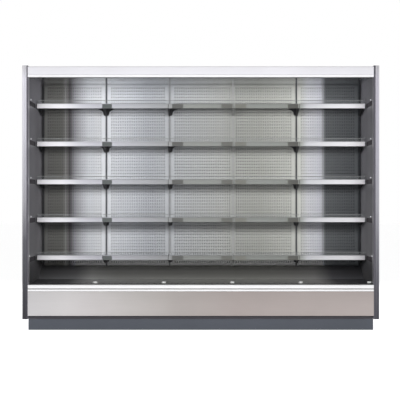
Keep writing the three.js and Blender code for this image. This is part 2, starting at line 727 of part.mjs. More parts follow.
// A motor behind the fan opening, on flat arms that turn forward to the wall.
function motorWithArms(x) {
  const motorRear = MOTOR_FRONT + MOTOR_LENGTH;
  const armRear = MOTOR_FRONT + SHEET + ARM_THICKNESS;
  const reach = ORIFICE_RADIUS + ARM_WIDTH;
  const half = ARM_WIDTH / 2;
  const parts = [roundY(MOTOR_RADIUS, MOTOR_FRONT, motorRear, x, FAN_HEIGHT, WIDE_ROUND_SIDES)];
  for (let arm = 0; arm < MOTOR_ARMS; arm += 1) {
    const spoke = block([0, armRear - ARM_THICKNESS, -half], [reach, armRear, half]);
    const post = block([reach - ARM_THICKNESS, PLENUM_FACE + SHEET / 2, -half], [reach, armRear, half]);
    for (const piece of [spoke, post]) {
      parts.push(piece.rotateY((arm / MOTOR_ARMS) * 2 * Math.PI).translate(x, 0, FAN_HEIGHT));
    }
  }
  const boreRear = MOTOR_FRONT + SHAFT_SEAT;
  const bore = roundY(SHAFT_RADIUS + SHAFT_BORE_GAP, MOTOR_FRONT - CUT_PAST, boreRear, x, FAN_HEIGHT);
  return cut(join(...parts), [bore]);
}

// One blade, from inside the hub to the tip: it widens, flattens and wraps round the axis on the way.
function fanBlade() {
  const span = FAN_RADIUS - BLADE_ROOT_RADIUS;
  const blade = new THREE.BoxGeometry(span, BLADE_THICKNESS, 1, 3, 1, 2);
  const position = blade.attributes.position;
  const point = new THREE.Vector3();
  for (let i = 0; i < position.count; i += 1) {
    point.fromBufferAttribute(position, i);
    const along = point.x / span + 0.5;
    const pitch = THREE.MathUtils.degToRad(THREE.MathUtils.lerp(BLADE_ROOT_PITCH, BLADE_TIP_PITCH, along));
    const chord = point.z * THREE.MathUtils.lerp(BLADE_ROOT_CHORD, BLADE_TIP_CHORD, along);
    const camber = BLADE_CAMBER * (1 - (2 * point.z) ** 2);
    const radius = BLADE_ROOT_RADIUS + along * span;
    const angle = chord * Math.cos(pitch) / radius;
    const depth = chord * Math.sin(pitch) + point.y + camber;
    position.setXYZ(i, radius * Math.cos(angle), depth, radius * Math.sin(angle));
  }
  return blade;
}

function fan(index) {
  const hubRear = PLENUM_FACE + FAN_HUB_LENGTH / 2;
  const hubFront = hubRear - FAN_HUB_LENGTH;
  const shaftEnd = MOTOR_FRONT + SHAFT_SEAT - SHAFT_END_GAP;
  const parts = [
    roundY(FAN_HUB_RADIUS, hubFront, hubRear, 0, 0, WIDE_ROUND_SIDES),
    roundY(SHAFT_RADIUS, hubRear - SHEET, shaftEnd, 0, 0),
  ];
  for (let i = 0; i < FAN_BLADES; i += 1) {
    const blade = fanBlade().translate(0, PLENUM_FACE - BLADE_FORWARD, 0);
    parts.push(blade.rotateY((i / FAN_BLADES) * 2 * Math.PI));
  }
  return join(...parts).translate(fanX(index), 0, FAN_HEIGHT);
}

// The finned coil: fins stand out from both sides of the tube block, between two end plates.
function evaporatorCoil() {
  const half = HALF_INSIDE - COIL_END_GAP;
  const rear = REAR_FACE - COIL_REAR_GAP;
  const front = rear - COIL_DEPTH;
  const middle = (front + rear) / 2;
  const bottom = TUB_FLOOR_TOP + COIL_FLOOR_GAP;
  const pitch = (2 * half - FIN_THICKNESS) / (COIL_FINS - 1);
  const outline = [];
  for (let i = 0; i < COIL_FINS; i += 1) {
    const x = -half + i * pitch;
    outline.push([x, middle - COIL_CORE / 2], [x, front], [x + FIN_THICKNESS, front]);
    outline.push([x + FIN_THICKNESS, middle - COIL_CORE / 2]);
  }
  const mirrored = outline.map(([x, y]) => [x, 2 * middle - y]).reverse();
  const parts = [alongZ(shapeOf([...outline, ...mirrored]), bottom, bottom + COIL_HEIGHT)];
  for (const side of [-1, 1]) {
    const plateX = side * (half - FIN_THICKNESS / 2 + COIL_PLATE);
    parts.push(block(
      [plateX - COIL_PLATE, front, TUB_FLOOR_TOP + FIT_GAP],
      [plateX + COIL_PLATE, rear, bottom + COIL_HEIGHT],
    ));
    for (let bend = 0; bend < BENDS_PER_END; bend += 1) {
      const y = front + (bend + 0.5) * (COIL_DEPTH / BENDS_PER_END);
      parts.push(returnBend(side, plateX, y, bottom + COIL_HEIGHT / 2));
    }
  }
  return join(...parts);
}

// A half circle of tube that joins two runs of the coil, one above the other.
function returnBend(side, x, y, z) {
  const curve = new THREE.Curve();
  curve.getPoint = (t, target = new THREE.Vector3()) => {
    const angle = Math.PI * (t - 0.5);
    return target.set(side * BEND_RADIUS * Math.cos(angle), 0, BEND_RADIUS * Math.sin(angle));
  };
  const section = new THREE.Shape();
  section.absarc(0, 0, COIL_TUBE_RADIUS, 0, 2 * Math.PI);
  const settings = { steps: BEND_STEPS, extrudePath: curve, curveSegments: TUBE_CURVE_SEGMENTS };
  return new THREE.ExtrudeGeometry(section, settings).translate(x, y, z);
}

// ---------------------------------------------------------------- assembly

const fridge = new THREE.Group();
fridge.position.y = -CASE_DEPTH / 2;

function add(name, geometry, material, x = 0, y = 0, z = 0) {
  const mesh = new THREE.Mesh(geometry, material);
  mesh.name = name;
  mesh.position.set(x, y, z);
  fridge.add(mesh);
}

add('base_frame', baseFrame(), galvanised);
add('kick_plate', kickPlate(), kickPaint);
add('insulated_tub', insulatedTub(), liner);
add('lower_panel', lowerPanel(), stainless);
add('bumper', bumper(), whiteTrim);
add('left_end_panel', endPanel(-1), greyPaint);
add('right_end_panel', endPanel(1), greyPaint);
add('rear_wall', rearWall(), galvanised);
add('roof_panel', roofPanel(), galvanised);
add('canopy', canopy(), whitePaint);
add('canopy_trim', canopyTrim(), whiteTrim);
add('air_honeycomb', honeycomb(), darkSteel);
add('ceiling_panel', ceilingPanel(), stainless);
add('canopy_lamp', canopyLamp(), lampLens);
add('rear_baffle', rearBaffle(), stainless);
add('fan_plenum', fanPlenum(), galvanised);
add('evaporator_coil', evaporatorCoil(), aluminium);
for (let i = 0; i < FANS; i += 1) {
  add(`fan_${i + 1}`, fan(i), fanPlastic);
}
for (let post = 0; post <= BAYS; post += 1) {
  add(`upright_${post + 1}`, upright(post), darkSteel);
}
const deckPanShape = deckPan();
const shelfShape = shelf();
for (let bay = 0; bay < BAYS; bay += 1) {
  add(`rear_panel_${bay + 1}`, rearPanel(bay), stainless);
  add(`deck_pan_${bay + 1}`, deckPanShape, stainless, bayX(bay));
  for (let level = 0; level < LEVELS; level += 1) {
    const top = TOP_SHELF - (LEVELS - 1 - level) * SHELF_PITCH;
    const middle = (uprightX(bay) + uprightX(bay + 1)) / 2;
    add(`shelf_level${level + 1}_bay${bay + 1}`, shelfShape, stainless, middle, REAR_FACE, top);
  }
}

export default fridge;
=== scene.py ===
"""Looks of an open multideck display fridge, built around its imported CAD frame.

Metres, +X is the shopper's right, +Z is up and the open front faces -Y. Every piece is drawn where it
stands, in the frame's own coordinates, so a material's object coordinates are places in the fridge.
"""

import math

import bmesh
import bpy
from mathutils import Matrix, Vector


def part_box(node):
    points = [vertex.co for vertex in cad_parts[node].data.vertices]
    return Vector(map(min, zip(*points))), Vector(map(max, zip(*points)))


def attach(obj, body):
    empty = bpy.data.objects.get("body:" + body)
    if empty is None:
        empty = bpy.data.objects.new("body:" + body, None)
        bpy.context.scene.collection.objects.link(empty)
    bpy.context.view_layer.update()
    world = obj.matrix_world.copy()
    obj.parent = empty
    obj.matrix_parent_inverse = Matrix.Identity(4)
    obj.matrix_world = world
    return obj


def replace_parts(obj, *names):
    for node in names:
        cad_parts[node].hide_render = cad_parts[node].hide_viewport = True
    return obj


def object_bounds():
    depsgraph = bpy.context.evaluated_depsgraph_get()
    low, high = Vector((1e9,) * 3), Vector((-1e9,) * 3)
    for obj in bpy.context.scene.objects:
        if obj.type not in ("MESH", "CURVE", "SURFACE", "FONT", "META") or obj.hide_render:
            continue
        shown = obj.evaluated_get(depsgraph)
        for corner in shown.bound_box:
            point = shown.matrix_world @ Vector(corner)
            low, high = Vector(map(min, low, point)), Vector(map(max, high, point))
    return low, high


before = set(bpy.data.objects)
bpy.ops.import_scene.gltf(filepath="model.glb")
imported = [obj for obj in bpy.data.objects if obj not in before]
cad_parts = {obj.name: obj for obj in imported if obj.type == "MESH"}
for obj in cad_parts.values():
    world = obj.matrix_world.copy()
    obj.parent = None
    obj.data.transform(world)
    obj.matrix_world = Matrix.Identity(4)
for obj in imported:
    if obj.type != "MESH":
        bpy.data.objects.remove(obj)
CAD_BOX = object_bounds()

# ---------------- places read from the frame

LEVELS = range(1, 6)
BAYS = range(1, 6)
POSTS = range(1, 7)

OUTSIDE_X = CAD_BOX[1].x
BACK_Y = CAD_BOX[1].y
FRONT_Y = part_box("canopy")[0].y
INSIDE_X = -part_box("left_end_panel")[1].x
POST_FACE_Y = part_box("upright_1")[0].y
DECK_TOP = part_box("deck_pan_1")[1].z
SHELF_TOPS = [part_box(f"shelf_level{level}_bay1")[1].z for level in LEVELS]

# ---------------- the photographed view

PICTURE = 400  # pixels across and up
MM_PER_PIXEL = 7.843  # in the plane of the front
CAMERA_DISTANCE = 8.873  # in front of that plane
CAMERA_X = 0.060
CAMERA_Z = 1.026
VANISHING_PIXEL = 208.4  # the column that receding lines run to
SENSOR = 36.0
FAR_CLIP = 200

# ---------------- sizes that many pieces share

SHEET = 0.002  # sheet steel, as in the frame
HALF_SHEET = SHEET / 2
BEND = 0.003  # inside radius of a fold
EDGE_ROUND = 0.0008
THIN_ROUND = 0.0004  # of the uprights
FINE_ROUND = 0.0006  # of the deck pans and fans
TRIM_ROUND = 0.0005  # of the end panels
SHARP_EDGE = math.radians(40)  # edges that turn further are rounded
STRAIGHT = math.radians(3)  # corners that turn less stay as they are
LEG_SHARE = 0.49  # of a path's leg that a rounded corner may use up


# ---------------- meshes

def new_object(name, data):
    made = bpy.data.objects.new(name, data)
    bpy.context.scene.collection.objects.link(made)
    return made


def finish_mesh(name, mesh_data, finish, body="case", smooth_angle=35):
    """A bmesh becomes a piece that rides on a body and has one finish."""
    bmesh.ops.recalc_face_normals(mesh_data, faces=mesh_data.faces)
    mesh = bpy.data.meshes.new(name)
    mesh_data.to_mesh(mesh)
    mesh_data.free()
    piece = new_object(name, mesh)
    mesh.materials.append(FINISHES[finish])
    for face in mesh.polygons:
        face.use_smooth = True
    mesh.set_sharp_from_angle(angle=math.radians(smooth_angle))
    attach(piece, body)
    return piece


def soften(piece, width=EDGE_ROUND):
    """Rounds the sharp edges, so that they catch the light."""
    rounding = piece.modifiers.new("edges", "BEVEL")
    rounding.width = width
    rounding.segments = 2
    rounding.limit_method = "ANGLE"
    rounding.angle_limit = SHARP_EDGE
    rounding.harden_normals = False


def thicken(piece, thickness, axis):
    """Gives a flat sheet its thickness, towards the far end of an axis of the fridge."""
    faces = piece.data.polygons
    faces_back = faces[len(faces) // 2].normal["xyz".index(axis)] < 0
    solid = piece.modifiers.new("thickness", "SOLIDIFY")
    solid.thickness = thickness
    solid.offset = -1.0 if faces_back else 1.0


def box_outline(low_u, low_v, high_u, high_v):
    return [(low_u, low_v), (high_u, low_v), (high_u, high_v), (low_u, high_v)]


def sweep(outline, start, end, axis="x", into=None):
    """A closed outline run from start to end: (y, z) along x, (x, z) along y, or (x, y) along z."""
    made = into or bmesh.new()
    fixed = "xyz".index(axis)
    rings = []
    for place in (start, end):
        points = [[u, v] for u, v in outline]
        for point in points:
            point.insert(fixed, place)
        rings.append([made.verts.new(point) for point in points])
    count = len(outline)
    for i in range(count):
        j = (i + 1) % count
        made.faces.new((rings[0][i], rings[0][j], rings[1][j], rings[1][i]))
    made.faces.new(rings[0][::-1])
    made.faces.new(rings[1])
    return made


def bar(name, outline, start, end, finish, body="case", axis="x"):
    """A piece that has the same outline all along."""
    return finish_mesh(name, sweep(outline, start, end, axis), finish, body)


def rounded(points, radius, steps=4, closed=True):
    """The points of a path with each corner turned into an arc, as tight as its legs need."""
    made = []
    count = len(points)
    for i, point in enumerate(points):
        here = Vector(point)
        if not closed and i in (0, count - 1):
            made.append(here)
            continue
        before = Vector(points[i - 1]) - here
        after = Vector(points[(i + 1) % count]) - here
        turn = math.pi - before.angle(after)
        if turn < STRAIGHT:
            made.append(here)
            continue
        legs = min(before.length, after.length) * LEG_SHARE
        cut = min(radius * math.tan(turn / 2), legs)
        fitted = cut / math.tan(turn / 2)
        start, end = here + before.normalized() * cut, here + after.normalized() * cut
        centre = here + (before.normalized() + after.normalized()).normalized() * math.hypot(fitted, cut)
        spin = (start - centre).angle_signed(end - centre)
        arm = start - centre
        for step in range(steps + 1):
            angle = -spin * step / steps
            across, up = math.cos(angle), math.sin(angle)
            made.append(centre + Vector((arm.x * across - arm.y * up, arm.x * up + arm.y * across)))
    return made


def folded(path, bend=BEND):
    """The outline of a folded sheet whose middle line is the path, with rounded folds."""
    line = rounded(path, bend + HALF_SHEET, closed=False)
    near, far = [], []
    for i, point in enumerate(line):
        before = line[max(i, 1)] - line[max(i, 1) - 1]
        after = line[min(i + 1, len(line) - 1)] - line[min(i, len(line) - 2)]
        along = (before.normalized() + after.normalized()).normalized()
        side = Vector((-along.y, along.x)) * HALF_SHEET
        near.append(point + side)
        far.append(point - side)
    return near + far[::-1]


def disc(made, centre, direction, profile, sides=20):
    """A turned piece: profile is a list of (radius, height) from the rim to the crown."""
    centre, direction = Vector(centre), Vector(direction).normalized()
    across = direction.orthogonal().normalized()
    up = direction.cross(across)
    angles = [2 * math.pi * k / sides for k in range(sides)]
    rings = []
    for radius, height in profile:
        middle = centre + direction * height
        rim = [middle + (across * math.cos(a) + up * math.sin(a)) * radius for a in angles]
        rings.append([made.verts.new(point) for point in rim])
    for low, high in zip(rings, rings[1:]):
        for k in range(sides):
            n = (k + 1) % sides
            made.faces.new((low[k], low[n], high[n], high[k]))
    made.faces.new(rings[0][::-1])
    made.faces.new(rings[-1])


# ---------------- materials

NOISE_LOW, NOISE_HIGH = 0.25, 0.75  # most of a noise lies between these
MIX_COLOURS = (6, 7)  # a Mix node's sockets when it blends colours
MIX_RESULT = 2


def light(level):
    """A displayed grey level, 0 to 255, as scene light."""
    share = level / 255
    return share / 12.92 if share <= 0.04045 else ((share + 0.055) / 1.055) ** 2.4


def shade(red, green, blue):
    """A displayed colour as scene light."""
    return (light(red), light(green), light(blue), 1.0)


FINISHES = {}


class Finish:
    """A procedural material that is put together socket by socket, and kept in FINISHES by its name."""

    def __init__(self, name, metallic, roughness):
        self.material = FINISHES[name] = bpy.data.materials.new(name)
        self.material.use_nodes = True
        self.tree = self.material.node_tree
        self.shader = self.tree.nodes["Principled BSDF"]
        self.shader.inputs["Metallic"].default_value = metallic
        self.shader.inputs["Roughness"].default_value = roughness
        self.place = self.tree.nodes.new("ShaderNodeTexCoord").outputs["Object"]

    def node(self, kind, inputs=None, **settings):
        made = self.tree.nodes.new(kind)
        for key, value in settings.items():
            setattr(made, key, value)
        for key, value in (inputs or {}).items():
            self.feed(made.inputs[key], value)
        return made

    def feed(self, socket, value):
        if isinstance(value, bpy.types.NodeSocket):
            self.tree.links.new(value, socket)
        else:
            socket.default_value = value

    def stretched(self, scale):
        """Object coordinates in metres, scaled along each axis."""
        return self.node("ShaderNodeMapping", {"Vector": self.place, "Scale": scale}).outputs["Vector"]

    def noise(self, scale, detail=3.0, rough=0.5):
        inputs = {"Vector": self.stretched(scale), "Scale": 1.0, "Detail": detail, "Roughness": rough}
        return self.node("ShaderNodeTexNoise", inputs).outputs["Fac"]

    def cells(self, scale):
        inputs = {"Vector": self.stretched(scale), "Scale": 1.0}
        return self.node("ShaderNodeTexVoronoi", inputs).outputs["Color"]

    def along(self, axis):
        return self.node("ShaderNodeSeparateXYZ", {"Vector": self.place}).outputs[axis]

    def spread(self, value, low, high, to_low=0.0, to_high=1.0):
        inputs = {"Value": value, "From Min": low, "From Max": high, "To Min": to_low, "To Max": to_high}
        return self.node("ShaderNodeMapRange", inputs).outputs["Result"]

    def tones(self, axis, stops):
        """Colour along one axis of the fridge: stops are (metres, colour)."""
        low, high = stops[0][0], stops[-1][0]
        ramp = self.node("ShaderNodeValToRGB", {"Fac": self.spread(self.along(axis), low, high)})
        elements = ramp.color_ramp.elements
        while len(elements) < len(stops):
            elements.new(0.5)
        for element, (place, colour) in zip(elements, stops):
            element.position = (place - low) / (high - low)
            element.color = colour
        return ramp.outputs["Color"]

    def blend(self, first, second, share, kind="MIX"):
        made = self.node("ShaderNodeMix", data_type="RGBA", blend_type=kind, clamp_result=True)
        self.feed(made.inputs["Factor"], share)
        for socket, colour in zip(MIX_COLOURS, (first, second)):
            self.feed(made.inputs[socket], colour)
        return made.outputs[MIX_RESULT]

    def vary(self, colour, value, amount):
        """Makes a colour lighter and darker by a share, following a value from 0 to 1."""
        factor = self.spread(value, NOISE_LOW, NOISE_HIGH, 1 - amount, 1 + amount)
        grey = self.node("ShaderNodeCombineColor", {"Red": factor, "Green": factor, "Blue": factor})
        return self.blend(colour, grey.outputs["Color"], 1.0, "MULTIPLY")

    def colour(self, value):
        self.feed(self.shader.inputs["Base Color"], value)

    def rough(self, value, low, high):
        self.feed(self.shader.inputs["Roughness"], self.spread(value, NOISE_LOW, NOISE_HIGH, low, high))

    def bump(self, value, strength, distance):
        inputs = {"Height": value, "Strength": strength, "Distance": distance}
        self.feed(self.shader.inputs["Normal"], self.node("ShaderNodeBump", inputs).outputs["Normal"])

    def brush(self, colour, roughness, grain, depth):
        """Long fine scratches that vary the tone and the gloss, under wide faint smears."""
        scratches = self.noise(grain, 4.0, 0.65)
        smears = self.noise((2.3, 2.3, 4.1))
        self.colour(self.vary(self.vary(colour, scratches, depth), smears, 0.04))
        self.rough(scratches, roughness - 0.05, roughness + 0.09)
        self.bump(scratches, 0.08, 0.0001)

    def set(self, **values):
        for name, value in values.items():
            self.shader.inputs[name.replace("_", " ")].default_value = value


def painted(name, tone, roughness=0.4, cloudiness=0.03, specular=0.5):
    """Powder coat: a fine orange-peel surface with a little cloudiness."""
    made = Finish(name, 0.0, roughness)
    made.set(Specular_IOR_Level=specular)
    made.colour(made.vary(shade(*tone), made.noise((3, 3, 3)), cloudiness))
    peel = made.noise((240, 240, 240), 2.0)
    made.rough(peel, roughness - 0.05, roughness + 0.07)
    made.bump(peel, 0.12, 0.0002)


def brushed(name, tone, roughness=0.3, metallic=1.0, grain=(2, 600, 600)):
    """Brushed steel of one tone."""
    made = Finish(name, metallic, roughness)
    made.brush(shade(*tone), roughness, grain, 0.06)


def galvanised(name, level=165, roughness=0.45, shaded_face=None):
    """Zinc-coated sheet with its crystal spangle, and, when a depth is given, a dark coat there as painted
    shade: the face that shows through the holes of the rear wall.
    """
    made = Finish(name, 0.65, roughness)
    crystals = made.cells((38, 38, 38))
    clouds = made.noise((4, 4, 4), 4.0)
    colour = made.vary(shade(level, level + 3, level + 6), crystals, 0.12)
    colour = made.vary(colour, clouds, 0.08)
    # painted shade on the face behind the holes
    if shaded_face is not None:
        shaded_share = made.spread(made.along("Y"), shaded_face + SHEET, shaded_face + 2 * SHEET)
        colour = made.blend(shade(30, 30, 32), colour, shaded_share)
    made.colour(colour)
    made.rough(crystals, roughness - 0.1, roughness + 0.12)
    made.bump(crystals, 0.05, 0.0002)


# The tones of a steel surface along the fridge, from left to right for a sheen and upwards for a fade, are
# painted reflections and painted shade: (metres, displayed red, green and blue).
# Rear wall: painted reflections, dark towards both ends with a pale streak near the left end, and a little
# painted shade beside the pale upright.
WALL_SHEEN = [
    (-1.35, 118, 118, 116), (-1.176, 116, 116, 112), (-1.154, 152, 152, 150), (-1.118, 92, 90, 92),
    (-1.06, 186, 186, 192), (-0.96, 240, 243, 248), (-0.86, 248, 250, 254), (-0.64, 232, 235, 241),
    (-0.45, 202, 205, 211), (0.2, 201, 202, 199), (0.27, 189, 190, 186), (0.5, 192, 193, 187),
    (0.84, 222, 223, 217), (0.9, 240, 241, 245), (1.01, 229, 230, 238), (1.055, 110, 113, 115),
    (1.35, 98, 101, 104),
]
# Shelf faces: painted reflections, bright at both ends and dull in the middle bays.
FACE_SHEEN = [
    (-1.35, 252, 251, 254), (-1.14, 250, 249, 253), (-1.0, 216, 216, 223), (-0.86, 200, 200, 208),
    (-0.64, 190, 191, 197), (-0.33, 166, 167, 170), (-0.13, 149, 151, 148), (0.7, 145, 148, 144),
    (0.82, 162, 165, 160), (0.87, 209, 210, 214), (1.24, 246, 245, 248), (1.35, 246, 245, 248),
]
# Lower front panel: painted reflection, brightest at the left end.
PANEL_SHEEN = [
    (-1.36, 193, 191, 192), (-1.05, 199, 196, 196), (-0.9, 194, 190, 190), (-0.6, 183, 179, 177),
    (-0.2, 168, 162, 159), (0.3, 162, 153, 150), (1.36, 168, 159, 156),
]
# Dark plates beside the shelf joints: painted reflection, in a tone that changes from joint to joint.
REFLECTION_PLATE_SHEEN = [
    (-1.0, 92, 98, 98), (-0.1, 96, 96, 94), (0.18, 106, 106, 102), (0.26, 106, 106, 102),
    (0.29, 122, 122, 116), (0.4, 124, 124, 118), (0.72, 92, 92, 88), (0.9, 86, 86, 84),
]
# Uprights: painted shade towards the ends of the case, and painted light on the pale upright right of the
# middle.
UPRIGHT_SHEEN = [
    (-1.36, 58, 58, 60), (-1.25, 60, 60, 62), (-0.9, 90, 92, 96), (-0.6, 104, 106, 110),
    (-0.35, 164, 166, 168), (-0.18, 166, 167, 168), (0.18, 188, 189, 188), (0.36, 188, 189, 188),
    (0.66, 82, 83, 86), (0.9, 76, 77, 80), (1.25, 56, 58, 62), (1.36, 52, 54, 58),
]
# Brackets: painted light on those at the pale upright, which hides them.
BRACKET_SHEEN = [
    (-1.36, 54, 54, 57), (0.2, 60, 60, 62), (0.24, 232, 232, 230), (0.3, 232, 232, 230),
    (0.34, 60, 60, 62), (1.36, 54, 54, 57),
]
# Front strips of the inner walls: the right one is painted darker than the left, as shade on that side.
CORNER_SHEEN = [(-1.36, 182, 180, 186), (1.36, 150, 148, 154)]
# Edge trims of the end panels: painted reflection, dark low down and light high up, with the right trims
# painted in their own tones for the light on that side.
LEFT_TRIM_PAINTED_REFLECTION = [
    (0.09, 58, 56, 62), (0.38, 74, 74, 80), (0.7, 98, 98, 104), (1.026, 168, 167, 173),
    (1.5, 206, 205, 213), (1.98, 226, 225, 233), (2.083, 198, 197, 201),
]
RIGHT_TRIM_PAINTED_REFLECTION = [
    (0.09, 76, 75, 82), (0.38, 96, 95, 102), (0.64, 126, 126, 132), (1.026, 166, 165, 172),
    (1.5, 182, 180, 190), (1.98, 196, 193, 203), (2.083, 190, 189, 192),
]
# Inner side walls: darker towards the bottom.
SIDE_WALL_FADE = [(0.37, 122, 121, 123), (0.53, 136, 135, 139), (0.58, 190, 188, 193), (2.0, 188, 186, 194)]
# Deck pans: painted shade at both ends of the case.
DECK_SHEEN = [
    (-1.35, 80, 80, 83), (-1.08, 92, 92, 94), (-0.9, 204, 204, 204), (-0.6, 184, 184, 182),
    (0.5, 184, 184, 180), (0.95, 196, 195, 193), (1.1, 90, 89, 93), (1.35, 76, 76, 80),
]
# Ceiling: painted reflection of the rear wall, brightest at the left.
CEILING_SHEEN = [
    (-1.35, 254, 254, 254), (-0.5, 252, 253, 254), (-0.25, 240, 241, 243), (1.35, 240, 241, 243),
]
# Rear baffle: painted shade at both ends.
BAFFLE_SHEEN = [
    (-1.35, 122, 122, 124), (-1.05, 130, 130, 132), (-0.92, 182, 182, 180), (-0.7, 160, 160, 157),
    (0.5, 160, 160, 155), (0.95, 166, 165, 163), (1.1, 102, 102, 106), (1.35, 98, 98, 102),
]

# Painted shade along another axis, and painted light where a share is over 1: (axis, its start, [(metres
# from there, share of the tone)]).
# The inner side walls are painted lighter towards the back, as painted light where less light reaches, and
# so darker near the front.
SIDE_WALL_PAINTED_LIGHT = ("Y", FRONT_Y, [(0.07, 0.33), (0.17, 0.37), (0.43, 0.54), (0.6, 0.8), (0.7, 1.0)])
# The rear wall is painted darker towards its lower shelves. It is painted light, over its own tone, in the
# strip in the shadow of the lowest shelf.
WALL_PAINTED_LIGHT_AND_SHADE = ("Z", 0.0, [(0.505, 2.2), (0.53, 0.86), (0.86, 0.92), (1.02, 0.96), (1.3, 1.0), (1.7, 0.98),
                        (2.0, 0.95)])
# Shelf faces are painted darker the lower the shelf, as shade.
FACE_PAINTED_SHADE = ("Z", 0.0, [(0.55, 0.77), (0.86, 0.86), (1.19, 0.93), (1.82, 1.0)])
# The rear baffle is painted darker across its middle and upper part, as the shadow of the lowest shelf.
BAFFLE_PAINTED_SHADOW = ("Z", 0.0, [(0.365, 0.8), (0.38, 0.63), (0.411, 0.39), (0.44, 0.38), (0.47, 0.7)])
# The ceiling is painted darker in a band behind the canopy, as shade.
CEILING_PAINTED_SHADE = ("Y", FRONT_Y, [(0.15, 0.5), (0.3, 1.0)])
# The deck pans are painted darker towards their front edge, as shade.
DECK_PAINTED_SHADE = ("Y", FRONT_Y, [(0.047, 0.15), (0.051, 0.5), (0.25, 0.8), (0.4, 0.93)])


def shaded(sheen):
    return [(place, shade(*tone)) for place, *tone in sheen]


def sheen_steel(name, sheen, roughness=0.32, metallic=1.0, grain=(2, 600, 600), painted_light_and_shade=None, axis="X",
                specular=0.5):
    """Brushed steel whose tone holds a painted sheen along one axis, and may be multiplied by painted light
    and shade along another.
    """
    made = Finish(name, metallic, roughness)
    made.set(Specular_IOR_Level=specular)
    colour = made.tones(axis, shaded(sheen))
    if painted_light_and_shade:
        light_and_shade_axis, origin, shares = painted_light_and_shade
        greys = [(origin + place, (share, share, share, 1.0)) for place, share in shares]
        colour = made.blend(colour, made.tones(light_and_shade_axis, greys), 1.0, "MULTIPLY")
    made.brush(colour, roughness, grain, 0.05)


def clear_plastic():
    """Thin acrylic: almost all light goes straight through, with a faint sheen and smudges."""
    made = Finish("clear_acrylic", 0.0, 0.06)
    made.set(Alpha=0.06)
    smudges = made.noise((14, 14, 30))
    made.colour(made.vary(shade(176, 180, 182), smudges, 0.05))
    made.rough(smudges, 0.04, 0.12)


def plastic(name, tone, roughness=0.35):
    """Moulded plastic: a fine matt skin with faint clouds in its colour."""
    made = Finish(name, 0.0, roughness)
    made.colour(made.vary(shade(*tone), made.noise((9, 9, 9)), 0.03))
    fine = made.noise((500, 500, 500), 2.0)
    made.rough(fine, roughness - 0.04, roughness + 0.06)
    made.bump(fine, 0.06, 0.0001)


def fin_stock():
    """The thin aluminium of the coil, rippled across its fins."""
    made = Finish("fin_aluminium", 0.9, 0.4)
    ripple = made.noise((900, 30, 30))
    made.colour(made.vary(shade(188, 192, 197), ripple, 0.1))
    made.rough(ripple, 0.32, 0.5)
    made.bump(ripple, 0.1, 0.0003)


def coated_channel(name, sheen):
    """Coated steel, a little rubbed along its edges where shelves have been moved, with painted sheen and
    shade along the fridge.
    """
    made = Finish(name, 0.2, 0.45)
    rub = made.noise((60, 60, 18), 4.0)
    made.colour(made.vary(made.tones("X", shaded(sheen)), rub, 0.12))
    made.rough(rub, 0.38, 0.55)
    made.bump(rub, 0.1, 0.0002)


sheen_steel("wall_steel", WALL_SHEEN, 0.35, 0.0, (600, 600, 2), WALL_PAINTED_LIGHT_AND_SHADE, specular=0.25)
sheen_steel("shelf_steel", FACE_SHEEN, 0.32, 0.6, painted_light_and_shade=FACE_PAINTED_SHADE)
sheen_steel("front_steel", PANEL_SHEEN, 0.36, 0.7)
sheen_steel("deck_steel", DECK_SHEEN, 0.36, 0.25, (2, 400, 400), DECK_PAINTED_SHADE)
sheen_steel("baffle_steel", BAFFLE_SHEEN, 0.4, 0.1, (2, 400, 400), BAFFLE_PAINTED_SHADOW)
sheen_steel("side_wall_steel", SIDE_WALL_FADE, 0.45, 0.1, (400, 400, 2), SIDE_WALL_PAINTED_LIGHT, "Z")
sheen_steel("left_trim_steel", LEFT_TRIM_PAINTED_REFLECTION, 0.38, 0.5, (500, 500, 2), axis="Z")
sheen_steel("right_trim_steel", RIGHT_TRIM_PAINTED_REFLECTION, 0.38, 0.5, (500, 500, 2), axis="Z")
sheen_steel("ceiling_steel", CEILING_SHEEN, 0.10, 0.85, painted_light_and_shade=CEILING_PAINTED_SHADE)
painted("white_paint", (229, 228, 233))
plastic("white_trim", (245, 245, 247), 0.3)
plastic("bumper_white", (252, 252, 253), 0.3)
painted("end_paint", (176, 176, 184), 0.45)
painted("kick_paint", (76, 80, 88), 0.5, 0.06)
galvanised("galvanised")
galvanised("back_skin", 176, 0.5, shaded_face=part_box("rear_wall")[0].y)
galvanised("roof_skin", 176, 0.5)
painted("tub_liner", (206, 209, 212), 0.45)
coated_channel("upright_coat", UPRIGHT_SHEEN)
coated_channel("bracket_coat", BRACKET_SHEEN)
brushed("shelf_pan", (232, 233, 235), 0.2, 0.7)
# The underside of a shelf is painted dark as shade, and that of the lowest shelf painted light, for the
# light it sends to the wall under it.
brushed("shaded_shelf_underside", (92, 92, 94), 0.6, 0.1)
brushed("lit_low_shelf_underside", (234, 234, 234), 0.5, 0.1)
painted("rail_coat", (56, 52, 56), 0.6, 0.1, specular=0.1)
sheen_steel("corner_strip", CORNER_SHEEN, 0.4, 0.3, (400, 400, 2))
painted("edge_seal", (82, 80, 88), 0.5, 0.05)
painted("kick_gap_shade", (58, 56, 62), 0.5, 0.05)
painted("frame_paint", (96, 94, 100), 0.5, 0.08)
sheen_steel("reflection_plate_steel", REFLECTION_PLATE_SHEEN, 0.45, 0.2)
plastic("bumper_insert", (138, 136, 135), 0.4)
clear_plastic()
plastic("acrylic_edge", (132, 134, 134), 0.3)
plastic("honeycomb", (36, 36, 38), 0.5)
plastic("opal_lens", (246, 246, 242), 0.3)
fin_stock()
plastic("fan_plastic", (38, 40, 42), 0.45)
brushed("stud_steel", (228, 228, 232), 0.22, grain=(60, 60, 60))
brushed("screw_steel", (190, 192, 196), 0.3, grain=(60, 60, 60))
plastic("finger_ring", (226, 228, 226), 0.25)


# ---------------- CAD nodes that stay

